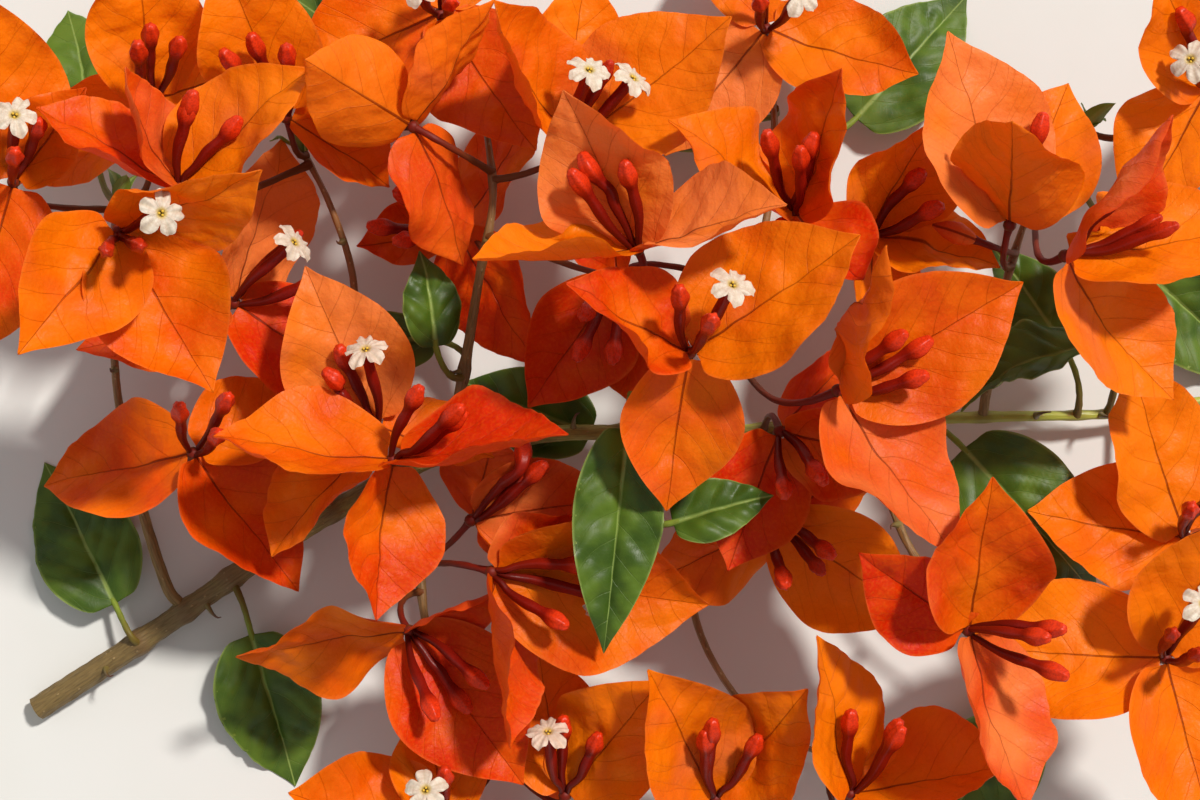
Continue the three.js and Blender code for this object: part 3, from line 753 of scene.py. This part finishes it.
def flower_shape(shape, heart, axis, bract_along, state, seed, k):
    """A slender ribbed tube in front of a bract, that ends in a closed knob or an open star."""
    lean = math.radians(TUBE_LEAN * (1 + 0.3 * vary(seed, 80 + k)))
    side = square_to(bract_along, axis)
    along = axis * math.cos(lean) + side * math.sin(lean)
    length = TUBE_LENGTH * (1 + 0.12 * vary(seed, 90 + k))
    plain = catmull_rom([heart + along * part * length + side * aside for part, aside in TUBE_ROUTE])
    radii = {"bud": BUD_RADII, "tube": CLOSED_RADII, "star": STAR_RADII}[state]
    steps = np.linspace(0, 1, 9)
    needs = profile(radii, steps) + TUBE_CLEARANCE
    if state == "star":
        needs[-3:] = [part * OPEN_FLOWER["reach"] for part in (0.4, 0.6, 0.85)]
    route = plain.points(steps)
    for m in range(1, len(steps)):
        route[m] = clear_of_bracts(route[m], needs[m], seed)
    curve = catmull_rom(route)
    shares = np.linspace(0, 1, TUBE_RINGS) ** 0.85
    radius = profile(radii, shares)[:, None]
    past = shares[:, None] - KNOB_FROM
    knob = 1 / (1 + np.exp(-KNOB_SHARPNESS * past))
    depth = RIB_DEPTH[0] + RIB_DEPTH[1] * knob
    ribs = 1 + depth * np.cos(OPEN_FLOWER["lobes"] * circle(TUBE_SIDES) + 6 * knob * past)
    rings = sweep(curve, shares, radius * ribs, TUBE_SIDES)
    tip, out = curve.at_share(1)
    if state != "star":
        turns = np.radians(CAP_TURNS)
        cap = [tip + (rings[-1] - tip) * math.cos(t) + out * math.sin(t) * radius[-1] for t in turns]
        rings = np.concatenate([rings, np.array(cap)])
    lengths = np.concatenate([[0], np.cumsum(np.linalg.norm(np.diff(rings.mean(1), axis=0), axis=1))])
    mood = np.array([vary(seed, 95 + k), {"bud": 1.0, "tube": 0.6, "star": 0.0}[state], 0])
    tube(shape, rings, lengths, TUBE, mood)
    if state == "star":
        star_shape(shape, tip, out, 10 * seed + k, STAR)


def stalk_curve(limb, end, arriving, share=None):
    start, out = seat_on(limb, end - STALK_REACH * arriving, share)
    pull = STALK_PULL * np.linalg.norm(start - end)
    return bezier(start - out * (JOINT_GAP + 0.6), start + out * pull, end - arriving * pull, end)


def stalk_shape(shape, curve, radii, look, seed):
    shares = np.linspace(0, 1, max(12, int(curve.length / STALK_STEP)))
    knots = 1 + 0.05 * np.sin(5 * circle(STALK_SIDES) + 40 * shares[:, None])
    knots = knots + 0.05 * np.sin(27 * shares[:, None] + seed)
    rings = sweep(curve, shares, profile(radii, shares)[:, None] * knots, STALK_SIDES)
    rings[..., 2] = np.maximum(rings[..., 2], 0.1)
    tube(shape, rings, shares * curve.length, look, np.array([vary(seed, 30), 0, 0]))


# Looks: the numbers that faces carry in the flower pieces
TUBE, STAR, ANTHER, STALK = range(4)


def bracts_piece(i, row):
    _, at, faces, _, bracts = row[:5]
    seed = i + 1
    heart = np.array(at, float)
    axis = direction(*faces)
    shape = Shape()
    for k, (heading, rise, length, *roll) in enumerate(bracts):
        along = direction(heading, rise)
        placed = blade_frame(heart + along * BRACT_START, along, axis, roll[0] if roll else 0)
        # The listed shade sets the bract's warmth and paleness: partly its own colour, partly painted light
        # and shade
        warmth, pale = BRACT_TINTS_AND_PAINTED_LIGHT[BLOOM_TINTS_AND_PAINTED_LIGHT[i].split()[k]]
        mood = (warmth + SHADE_SPREAD * vary(seed, 300 + k), pale + SHADE_SPREAD * vary(seed, 310 + k))
        blade_shape(shape, bract_blade(length, seed, k), placed, BRACT_GRID, 0, mood, seed)
    piece = shape.make(f"bracts_{seed:02d}", [bract_material])
    finish_piece(piece, f"bloom_{seed:02d}")


def flowers_piece(i, row):
    limb, at, faces, states, bracts = row[:5]
    seed = i + 1
    heart = np.array(at, float)
    axis = direction(*faces)
    shape = Shape()
    for k, (heading, rise, *_) in enumerate(bracts):
        flower_shape(shape, heart, axis, direction(heading, rise), states.split()[k], seed, k)
    ball(shape, heart, HEART_RADII, STALK, np.zeros(3))
    stalk_shape(shape, stalk_curve(LIMB[limb], heart, axis, *row[5:]), STALK_RADII, STALK, seed)
    piece = shape.make(f"flowers_{seed:02d}", [tube_material, star_material, anther_material, stalk_material])
    finish_piece(piece, f"bloom_{seed:02d}")


def leaf_piece(i, row):
    limb, at, heading, rise, length, width, roll = row
    seed = SEED_OF_LEAVES + i + 1
    foot = np.array(at, float)
    along = direction(heading, rise)
    shape = Shape()
    placed = blade_frame(foot, along, Z_UP, roll)
    mood = (vary(seed, 20), vary(seed, 21))
    blade_shape(shape, leaf_blade(length, width, seed), placed, LEAF_GRID, 0, mood)
    curve = stalk_curve(LIMB[limb], foot + along * PETIOLE_OVERLAP, along)
    stalk_shape(shape, curve, PETIOLE_RADII, 1, seed)
    number = f"{i + 1:02d}"
    piece = shape.make(f"leaf_blade_{number}", [leaf_material, petiole_material])
    finish_piece(piece, f"leaf_{number}")


def thorn_shape(shape, limb, share, heading, length):
    """A short thorn that bends towards the limb's tip."""
    centre, tangent = limb["curve"].at_share(share)
    out = turned(any_side(tangent), tangent, heading)
    radius = limb_radius(limb, share)
    start = centre + out * radius * 0.6
    tip = centre + out * (radius + length) + tangent * length * 0.35
    curve = bezier(start, start + out * length * 0.5, tip - tangent * length * 0.3, tip)
    shares = np.linspace(0, 1, 9)
    rings = sweep(curve, shares, profile(THORN_RADII, shares)[:, None], 8)
    if rings[..., 2].min() > SURFACE_CLEARANCE:
        tube(shape, rings, shares * curve.length, 1, np.array([0.5, 0, 0]))


def limb_piece(name, limb):
    """A limb with its bark's relief, a swelling at each seat, and a few thorns."""
    seed = sum(map(ord, name))
    is_cane = name == "main_cane"
    kind = CANE if is_cane else SHOOT
    length = limb["curve"].length
    shares = np.linspace(0, 1, int(length / BARK_STEP))
    radius = limb_radius(limb, shares)[:, None]
    angles = circle(kind["sides"])
    along = shares[:, None] * length
    grain = 0.035 * np.sin(4 * angles + 0.11 * along) + 0.03 * np.sin(9 * angles - 0.07 * along + 2)
    grain = grain + 0.02 * np.sin(5 * angles) * np.sin(0.9 * along) + 0.015 * np.sin(1.7 * along + 3 * angles)
    swell = np.zeros((len(shares), 1))
    for share in limb["seats"]:
        swell = swell + NODE_SWELL * np.exp(-(((along - share * length) / NODE_REACH) ** 2))
    radius = radius * (1 + grain) + np.minimum(swell, NODE_MOST) * radius / NODE_FROM
    rings = sweep(limb["curve"], shares, radius, kind["sides"])
    rings[..., 2] = np.maximum(rings[..., 2], 0.05)
    shape = Shape()
    mood = np.zeros(rings.shape)
    mood[..., 0] = shares[:, None]
    mood[..., 1] = swell
    mood[0, :, 2] = np.linalg.norm(rings[0] - rings[0].mean(0), axis=1)
    numbers = tube(shape, rings, shares * length, 0, mood, ends=(not is_cane, True))
    if is_cane:
        cut_end(shape, rings[0], numbers[0])
    for k in range(kind["thorns"]):
        share = (k + 0.7 + 0.25 * vary(seed, k)) / kind["thorn_run"]
        thorn_length = kind["thorn_length"] * (1 + 0.25 * vary(seed, 60 + k))
        thorn_shape(shape, limb, share, 60 * vary(seed, 40 + k), thorn_length)
    bark = cane_material if is_cane else shoot_material
    piece = shape.make(f"{name}_bark", [bark, thorn_material, wood_material])
    finish_piece(piece, name)


def cut_end(shape, ring, edge):
    """The cane's clean cut: wood inside the bark's edge, and a small soft pith that lies a little deeper."""
    centre = ring.mean(0)
    inward = unit(np.cross(ring[1] - ring[0], ring[len(ring) // 2] - ring[0]))
    rows = np.array([centre + (ring - centre) * part + inward * deep for part, deep in CUT_RINGS])
    mood = np.zeros(rows.shape)
    mood[..., 2] = np.linalg.norm(rows - centre, axis=2)
    numbers = np.vstack([edge[None], shape.put(rows, rows - centre, mood)])
    numbers[-1] = numbers[-1, 0]
    shape.wrap(numbers, 2, flip=True)


def young_leaves_piece():
    """Three small new leaves at the tip of each limb."""
    shape = Shape()
    for n, limb in enumerate(LIMB.values()):
        tip, along = limb["curve"].at_share(1)
        for k in range(3):
            seed = SEED_OF_YOUNG_LEAVES + 3 * n + k
            out = turned(any_side(along), along, 120 * k + 25 * vary(seed, 1))
            length = YOUNG_LEAF["length"] * (1 + 0.25 * vary(seed, 9))
            width = YOUNG_LEAF["width"] * length
            blade = {**leaf_blade(length, width, seed), **YOUNG_LEAF["relief"]}
            placed = blade_frame(tip - along * 0.6, unit(along + 0.7 * out), along, 0)
            blade_shape(shape, blade, placed, YOUNG_LEAF["grid"], 0, (0.8, vary(seed, 10)))
    finish_piece(shape.make("young_leaves", [leaf_material]), None)


def bract_bud_piece():
    """The closed bud of bracts that hangs on a stalk of its own at shoot_e."""
    foot = np.array(BRACT_BUD["at"], float)
    along = direction(*BRACT_BUD["heading_and_rise"])
    body = bezier(*(foot + along * out - down * Z_UP for out, down in BRACT_BUD["route"]))
    shares = np.linspace(0, 1, 20)
    sides = BRACT_BUD["sides"]
    folds = 1 + 0.1 * np.cos(3 * circle(sides) + 1.5 * shares[:, None]) * np.sin(np.pi * shares[:, None])
    rings = sweep(body, shares, profile(BRACT_BUD["radii"], shares)[:, None] * folds, sides)
    shape = Shape()
    tube(shape, rings, shares * body.length, 0, np.array([0.75, 0.9, 0.5]))
    stalk = stalk_curve(LIMB["shoot_e"], foot + along * 0.4, along)
    stalk_shape(shape, stalk, STALK_RADII, 1, SEED_OF_YOUNG_LEAVES)
    finish_piece(shape.make("bract_bud", [bract_material, stalk_material]), None)


def finish_piece(piece, node):
    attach(piece, "root")
    if node:
        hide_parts(node)


# Materials
PATTERN_SHIFT = 600  # keeps the patterns of two blades apart
FORK_FROM = 5  # the distance from the midrib at which the side veins fork
FORK_SPREAD = 0.085
NET_BEND = 3.0


class Look:
    """A material in the making, with short calls for its nodes."""

    def __init__(self, name):
        self.material = bpy.data.materials.new(name)
        self.material.use_nodes = True
        self.nodes = self.material.node_tree.nodes
        self.links = self.material.node_tree.links
        self.nodes.clear()

    def node(self, kind, inputs=(), **settings):
        made = self.nodes.new(kind)
        for key, value in settings.items():
            setattr(made, key, value)
        for key, value in dict(inputs).items():
            if isinstance(value, bpy.types.NodeSocket):
                self.links.new(value, made.inputs[key])
            else:
                made.inputs[key].default_value = value
        return made

    def math(self, operation, *values):
        return self.node("ShaderNodeMath", enumerate(values), operation=operation).outputs[0]

    def times(self, a, b):
        return self.math("MULTIPLY", a, b)

    def times_plus(self, a, b, c):
        return self.math("MULTIPLY_ADD", a, b, c)

    def read(self, name):
        """The three numbers of a point attribute, and the whole of it."""
        whole = self.node("ShaderNodeAttribute", attribute_name=name).outputs["Vector"]
        parts = self.node("ShaderNodeSeparateXYZ", {0: whole}).outputs
        return parts[0], parts[1], parts[2], whole

    def flat(self, x, y):
        return self.node("ShaderNodeCombineXYZ", {0: x, 1: y}).outputs[0]

    def smooth(self, value, low, high, to_low=0.0, to_high=1.0):
        inputs = {0: value, 1: low, 2: high, 3: to_low, 4: to_high}
        return self.node("ShaderNodeMapRange", inputs, interpolation_type="SMOOTHSTEP").outputs[0]

    def noise(self, vector, scale, detail=2.0, space="3D"):
        inputs = {"Vector": vector, "Scale": scale, "Detail": detail}
        return self.node("ShaderNodeTexNoise", inputs, noise_dimensions=space).outputs["Fac"]

    def mix(self, share, a, b, blend="MIX"):
        made = self.node("ShaderNodeMix", data_type="RGBA", blend_type=blend)
        for key, value in ((0, share), (6, a), (7, b)):
            if isinstance(value, bpy.types.NodeSocket):
                self.links.new(value, made.inputs[key])
            else:
                made.inputs[key].default_value = value
        return made.outputs[2]

    def tint(self, body, mask, share, over):
        """Another colour laid over the body's, by a mask."""
        return self.mix(self.math("MULTIPLY", mask, share), body, over)

    def voronoi(self, vector, scale, **settings):
        inputs = {"Vector": vector, "Scale": scale}
        return self.node("ShaderNodeTexVoronoi", inputs, voronoi_dimensions="2D", **settings).outputs

    def bump(self, height, distance, strength=1.0):
        inputs = {"Height": height, "Distance": distance, "Strength": strength}
        return self.node("ShaderNodeBump", inputs).outputs[0]

    def surface(self, colour, rough, normal=None, through=None, share=0.0, **fixed):
        inputs = {"Base Color": colour, "Roughness": rough}
        if normal is not None:
            inputs["Normal"] = normal
        inputs.update({key.replace("_", " "): value for key, value in fixed.items()})
        shader = self.node("ShaderNodeBsdfPrincipled", inputs).outputs[0]
        if through is not None:
            behind = {"Color": through}
            if normal is not None:
                behind["Normal"] = normal
            light = self.node("ShaderNodeBsdfTranslucent", behind).outputs[0]
            shader = self.node("ShaderNodeMixShader", {0: share, 1: shader, 2: light}).outputs[0]
        self.node("ShaderNodeOutputMaterial", {0: shader})
        return self.material


def tones(**named):
    """Colour sockets' values from the screen's 0 to 255."""
    def linear(c):
        c /= 255
        return c / 12.92 if c <= 0.04045 else ((c + 0.055) / 1.055) ** 2.4
    return {name: (*map(linear, rgb), 1.0) for name, rgb in named.items()}


def vein_masks(look, rib_width):
    """Masks of the midrib, the forking side veins, the fine net and the rim, from the place on the blade. The
    rim mask lays a painted highlight.
    """
    x, y, phase, _ = look.read("place")
    warmth, pale, across, _ = look.read("mood")
    away = look.math("ABSOLUTE", x)
    spot_x = look.times_plus(warmth, PATTERN_SHIFT, x)
    spot_y = look.times_plus(pale, PATTERN_SHIFT, y)
    spot = look.flat(spot_x, spot_y)
    taper = look.smooth(y, 0, 34, rib_width, rib_width * 0.3)
    rib = look.math("SUBTRACT", 1, look.smooth(look.math("DIVIDE", away, taper), 0.35, 1.3))
    shifted = look.math("ADD", phase, look.times_plus(look.math("SIGN", x), 0.25, 50))
    near = look.math("PINGPONG", shifted, 0.5)
    main = look.smooth(near, 0.004, 0.026, 1.0, 0.0)
    main = look.times(main, look.smooth(away, 3, 15, 1.0, 0.3))
    past_fork = look.math("MAXIMUM", look.math("SUBTRACT", away, FORK_FROM), 0)
    fork = look.math("MINIMUM", look.times(past_fork, FORK_SPREAD), 0.5)
    beside = look.math("PINGPONG", look.math("SUBTRACT", shifted, fork), 0.5)
    forked = look.smooth(beside, 0.004, 0.022, 0.55, 0.0)
    forked = look.times(forked, look.smooth(away, FORK_FROM, FORK_FROM + 1))
    side = look.math("MAXIMUM", main, forked)
    warp = look.noise(spot, 0.3, 0, "2D")
    bent_x = look.times_plus(warp, NET_BEND, spot_x)
    bent_y = look.times_plus(warp, -NET_BEND, spot_y)
    cells = look.voronoi(look.flat(bent_x, bent_y), 0.85, feature="DISTANCE_TO_EDGE")
    net = look.smooth(cells["Distance"], 0.0, 0.09, 1.0, 0.0)
    under = look.math("LESS_THAN", across, 0)
    return {
        "y": y, "spot": spot, "rib": rib, "side": side, "net": net,
        "warmth": warmth, "pale": pale, "under": under,
        # The rim mask: where a painted highlight lies along a blade's edge
        "rim": look.smooth(look.math("ABSOLUTE", across), 0.93, 1.0),
        "sign": look.times_plus(under, -2, 1),
    }


def make_bract_material():
    look = Look("papery_bract")
    tone = tones(light=(252, 138, 4), deep=(224, 44, 0), pale=(250, 146, 74), under=(246, 114, 40),
                 fleck=(255, 146, 20), foot=(246, 110, 0), net=(186, 44, 0), side=(166, 34, 0),
                 # rim is a painted highlight along the bract's edge
                 rib=(118, 26, 4), rim=(255, 142, 60), through=(255, 152, 0))
    veins = vein_masks(look, 0.32)
    drift = look.noise(veins["spot"], 0.07, 1, "2D")
    # Warmth and paleness come from each bract's listed shade, so these mixes paint light and shade as well as
    # own colour
    deep = look.smooth(look.times_plus(drift, 1.6, veins["warmth"]), 0.0, 1.8)
    body = look.mix(deep, tone["light"], tone["deep"])
    cloud = look.times_plus(drift, 2.4, look.math("SUBTRACT", veins["pale"], 1.2))
    body = look.mix(look.smooth(cloud, 0.2, 1.7, 0.0, 0.9), body, tone["pale"])
    body = look.tint(body, veins["under"], 0.3, tone["under"])
    fleck = look.noise(veins["spot"], 1.3, 2, "2D")
    body = look.mix(look.smooth(fleck, 0.42, 0.7, 0.0, 0.14), body, tone["fleck"])
    body = look.mix(look.smooth(veins["y"], 0, 8, 0.5, 0.0), body, tone["foot"])
    body = look.tint(body, veins["net"], 0.09, tone["net"])
    body = look.tint(body, veins["side"], 0.18, tone["side"])
    body = look.tint(body, veins["rib"], look.smooth(veins["y"], 2, 32, 0.8, 0.25), tone["rib"])
    # A painted highlight along the bract's rim
    body = look.tint(body, veins["rim"], 0.3, tone["rim"])
    through = look.mix(0.35, body, tone["through"])
    wrinkle = look.noise(veins["spot"], 0.4, 3, "2D")
    relief = look.times_plus(wrinkle, 0.9, look.times(fleck, 0.12))
    for name, height in (("rib", -0.6), ("side", -0.25), ("net", -0.03)):
        relief = look.times_plus(veins[name], height, relief)
    normal = look.bump(look.times(relief, veins["sign"]), 0.0004, 0.9)
    rough = look.smooth(fleck, 0.3, 0.7, 0.4, 0.52)
    return look.surface(body, rough, normal, through, 0.42, Specular_IOR_Level=0.18)


def make_leaf_material():
    look = Look("leaf_skin")
    tone = tones(dark=(58, 84, 16), fresh=(88, 114, 26), young=(116, 142, 34), under=(126, 144, 52),
                 # rim is a painted highlight along the leaf's edge
                 net=(104, 136, 54), side=(118, 144, 64), rib=(146, 166, 84), rim=(156, 172, 90),
                 through=(150, 176, 10))
    veins = vein_masks(look, 0.7)
    drift = look.noise(veins["spot"], 0.12, 2, "2D")
    body = look.mix(look.smooth(drift, 0.3, 0.7), tone["dark"], tone["fresh"])
    body = look.mix(look.smooth(veins["warmth"], 0.1, 1.0, 0.0, 0.5), body, tone["young"])
    # The rim tint is a painted highlight along the edge; under, net, side and rib are the leaf's own colours
    for name, share in (("under", 0.75), ("net", 0.1), ("side", 0.4), ("rib", 0.75), ("rim", 0.6)):
        body = look.tint(body, veins[name], share, tone[name])
    through = look.mix(0.5, body, tone["through"])
    relief = look.times_plus(veins["side"], -0.7, look.times(veins["net"], -0.06))
    normal = look.bump(look.times(relief, veins["sign"]), 0.0003, 0.6)
    rough = look.smooth(drift, 0.3, 0.7, 0.42, 0.54)
    return look.surface(body, rough, normal, through, 0.18, Specular_IOR_Level=0.36)


def make_tube_material():
    look = Look("flower_tube")
    tone = tones(foot=(78, 12, 4), top=(136, 20, 6), neck=(138, 22, 8), knob=(212, 52, 14), grain=(96, 10, 4),
                 bright=(180, 44, 12))
    _, _, share, whole = look.read("place")
    tint, knob, _, _ = look.read("mood")
    grain = look.noise(whole, 2.2, 2)
    body = look.mix(look.smooth(share, 0.0, 0.85), tone["foot"], tone["top"])
    body = look.mix(look.smooth(share, 0.72, 0.86), body, look.mix(knob, tone["neck"], tone["knob"]))
    body = look.mix(look.smooth(grain, 0.35, 0.7, 0.0, 0.35), body, tone["grain"])
    body = look.mix(look.smooth(tint, 0.0, 1.0, 0.0, 0.15), body, tone["bright"])
    normal = look.bump(grain, 0.00008, 0.7)
    return look.surface(body, 0.38, normal, Specular_IOR_Level=0.2)


def make_star_material():
    look = Look("flower_star")
    # crease is painted shade along each lobe's middle crease
    tone = tones(light=(232, 222, 204), shade=(216, 198, 178), under=(214, 150, 120), crease=(206, 186, 150),
                 # depth is painted shade down the throat
                 throat=(206, 172, 60), depth=(84, 64, 14), blush=(230, 170, 140))
    radius, _, lobe, whole = look.read("place")
    tint, _, side, _ = look.read("mood")
    body = look.mix(look.smooth(look.noise(whole, 1.2, 2), 0.3, 0.7), tone["light"], tone["shade"])
    body = look.tint(body, look.math("LESS_THAN", side, 0), 0.5, tone["under"])
    # Darker along the dip down each lobe's middle: painted shade in the crease
    crease = look.math("SUBTRACT", 1, look.smooth(look.math("ABSOLUTE", lobe), 0.02, 0.2))
    body = look.tint(body, crease, 0.3, tone["crease"])
    body = look.mix(look.smooth(radius, 0.7, 1.7, 0.85, 0.0), body, tone["throat"])
    # A dark middle in the throat: painted shade where the tube runs down
    body = look.mix(look.smooth(radius, 0.35, 1.0, 0.95, 0.0), body, tone["depth"])
    body = look.mix(look.smooth(tint, 0.2, 1.0, 0.0, 0.25), body, tone["blush"])
    return look.surface(body, 0.5, look.bump(look.noise(whole, 2.5, 2), 0.0002, 0.5), body, 0.25)


def make_anther_material():
    look = Look("anther")
    tone = tones(dark=(196, 150, 30), light=(232, 196, 70))
    grain = look.noise(look.read("place")[3], 4.0, 2)
    return look.surface(look.mix(grain, tone["dark"], tone["light"]), 0.6)


def make_stalk_material(name, foot, top):
    look = Look(name)
    tone = tones(foot=foot, top=top, grain=(70, 34, 18))
    around, along, share, _ = look.read("place")
    stretched = look.flat(look.times(around, 2.5), look.times(along, 0.35))
    grain = look.noise(stretched, 1.2, 3)
    body = look.mix(look.smooth(share, 0.15, 0.9), tone["foot"], tone["top"])
    body = look.mix(look.smooth(grain, 0.35, 0.75, 0.0, 0.35), body, tone["grain"])
    return look.surface(body, 0.5, look.bump(grain, 0.0002, 0.6), Specular_IOR_Level=0.2)


def make_bark_material(name, old, young):
    """Bark that runs from its old colour at the foot to its young one, with grain, spots and darker nodes."""
    look = Look(name)
    tone = tones(old=old, young=young, grain=(74, 56, 24), spot=(170, 144, 96), node=(96, 66, 36))
    around, along, _, _ = look.read("place")
    share, node, _, _ = look.read("mood")
    stretched = look.flat(look.times(around, 1.6), look.times(along, 0.16))
    grain = look.noise(stretched, 1.6, 3)
    patch = look.noise(look.flat(around, look.times(along, 0.4)), 0.22, 3)
    age = look.math("ADD", share, look.times(look.math("SUBTRACT", patch, 0.5), 0.7))
    body = look.mix(look.smooth(age, 0.1, 0.9), tone["old"], tone["young"])
    rough_bark = look.smooth(age, 0.2, 0.9, 0.6, 0.14)
    body = look.tint(body, look.smooth(grain, 0.35, 0.72), rough_bark, tone["grain"])
    cells = look.voronoi(look.flat(around, look.times(along, 0.6)), 0.6)
    chance = look.node("ShaderNodeSeparateColor", {0: cells["Color"]}).outputs[0]
    size = look.smooth(chance, 0.5, 1.0, 0.0, 0.17)
    spots = look.math("DIVIDE", cells["Distance"], look.math("ADD", size, 0.001))
    spots = look.smooth(spots, 0.5, 1.0, 1.0, 0.0)
    body = look.tint(body, spots, 0.5, tone["spot"])
    body = look.mix(look.smooth(node, 0.05, 0.5, 0.0, 0.4), body, tone["node"])
    height = look.times_plus(spots, 0.5, grain)
    height = look.times(height, look.smooth(age, 0.3, 1.0, 1.0, 0.35))
    rough = look.smooth(grain, 0.3, 0.7, 0.5, 0.72)
    rough = look.times(rough, look.smooth(age, 0.3, 1.0, 1.0, 0.65))
    return look.surface(body, rough, look.bump(height, 0.0004, 0.8))


def make_thorn_material():
    look = Look("thorn")
    tone = tones(foot=(112, 98, 48), tip=(86, 44, 24))
    _, _, share, whole = look.read("place")
    body = look.mix(look.smooth(share, 0.2, 0.95), tone["foot"], tone["tip"])
    return look.surface(body, 0.45, look.bump(look.noise(whole, 2.0, 2), 0.0002, 0.5))


def make_wood_material():
    look = Look("cut_wood")
    tone = tones(wood=(206, 186, 128), edge=(104, 84, 46), pith=(232, 222, 190), grain=(160, 140, 80))
    whole = look.read("place")[3]
    radius = look.read("mood")[2]
    body = look.mix(look.smooth(radius, 2.3, 2.7), tone["wood"], tone["edge"])
    body = look.mix(look.smooth(radius, 0.5, 0.8, 0.85, 0.0), body, tone["pith"])
    body = look.mix(look.smooth(look.noise(whole, 2.0, 3), 0.4, 0.7, 0.0, 0.3), body, tone["grain"])
    return look.surface(body, 0.7, look.bump(look.noise(whole, 3.0, 2), 0.0002, 0.6))


def make_floor_material():
    look = Look("pale_floor")
    tone = tones(dark=(209, 209, 205), light=(211, 211, 208))
    grain = look.noise(look.node("ShaderNodeTexCoord").outputs["Object"], 30, 3)
    return look.surface(look.mix(look.smooth(grain, 0.3, 0.7, 0.0, 1.0), tone["dark"], tone["light"]), 0.85)


bract_material = make_bract_material()
leaf_material = make_leaf_material()
tube_material = make_tube_material()
star_material = make_star_material()
anther_material = make_anther_material()
stalk_material = make_stalk_material("flower_stalk", (100, 54, 20), (112, 22, 8))
petiole_material = make_stalk_material("petiole", (104, 88, 34), (118, 136, 46))
cane_material = make_bark_material("cane_bark", (118, 96, 52), (166, 172, 70))
shoot_material = make_bark_material("shoot_bark", (132, 102, 52), (132, 86, 44))
thorn_material = make_thorn_material()
wood_material = make_wood_material()
floor_material = make_floor_material()


# The stage
CAMERA_HEIGHT = 690
CAMERA_SENSOR = 36
VIEW = 264 / 640  # the frame's width for each unit of distance
SUN = {"strength": 3.75, "angle": 6, "colour": (1.0, 0.96, 0.9), "from": (0.5, 0.55, 0.95)}
FLOOR_REACH = 6  # metres
HORIZON_LIGHT = 0.96
SKY_LIGHT = 0.47
SKY_FROM = 0.35  # the height, from 0 to 1, above which the surround is even
SKY_COLOUR = (0.86, 0.87, 0.87, 1)
LIGHT_BOUNCES = 4


def make_camera():
    """Straight above the branch, as the photograph looks at it."""
    data = bpy.data.cameras.new("camera")
    data.sensor_width = CAMERA_SENSOR
    data.lens = CAMERA_SENSOR / VIEW
    data.clip_start, data.clip_end = 0.01, 50
    camera = bpy.data.objects.new("camera", data)
    camera.location = (SHIFT + [0, 0, CAMERA_HEIGHT]) * MM
    bpy.context.scene.collection.objects.link(camera)
    bpy.context.scene.camera = camera


def make_light():
    """One soft light from the upper right, as even as the sun's."""
    data = bpy.data.lights.new("key", "SUN")
    data.energy = SUN["strength"]
    data.angle = math.radians(SUN["angle"])
    data.color = SUN["colour"]
    lamp = bpy.data.objects.new("key", data)
    lamp.rotation_euler = Vector(SUN["from"]).to_track_quat("Z", "Y").to_euler()
    bpy.context.scene.collection.objects.link(lamp)


def make_floor():
    mesh = bpy.data.meshes.new("floor")
    corners = [(x * FLOOR_REACH, y * FLOOR_REACH, 0) for x, y in ((-1, -1), (1, -1), (1, 1), (-1, 1))]
    mesh.from_pydata(corners, [], [(0, 1, 2, 3)])
    mesh.materials.append(floor_material)
    floor = bpy.data.objects.new("floor", mesh)
    bpy.context.scene.collection.objects.link(floor)


def make_world():
    """An even surround that is brightest at the horizon, where it meets the floor."""
    world = bpy.data.worlds.new("studio")
    world.use_nodes = True
    nodes, links = world.node_tree.nodes, world.node_tree.links
    height = nodes.new("ShaderNodeSeparateXYZ")
    links.new(nodes.new("ShaderNodeTexCoord").outputs["Generated"], height.inputs[0])
    strength = nodes.new("ShaderNodeMapRange")
    strength.interpolation_type = "SMOOTHSTEP"
    links.new(height.outputs[2], strength.inputs[0])
    for key, value in {1: 0.0, 2: SKY_FROM, 3: HORIZON_LIGHT, 4: SKY_LIGHT}.items():
        strength.inputs[key].default_value = value
    links.new(strength.outputs[0], nodes["Background"].inputs[1])
    nodes["Background"].inputs[0].default_value = SKY_COLOUR
    world.cycles.sampling_method = "NONE"
    bpy.context.scene.world = world
    bpy.context.scene.view_settings.view_transform = "Standard"
    bpy.context.scene.cycles.max_bounces = LIGHT_BOUNCES


make_camera()
make_light()
make_floor()
make_world()

for bloom_number, bloom_row in enumerate(BLOOMS):
    bracts_piece(bloom_number, bloom_row)
for bloom_number, bloom_row in enumerate(BLOOMS):
    flowers_piece(bloom_number, bloom_row)
for leaf_number, leaf_row in enumerate(LEAVES):
    leaf_piece(leaf_number, leaf_row)
bract_bud_piece()
young_leaves_piece()
for limb_name, limb_grown in LIMB.items():
    limb_piece(limb_name, limb_grown)
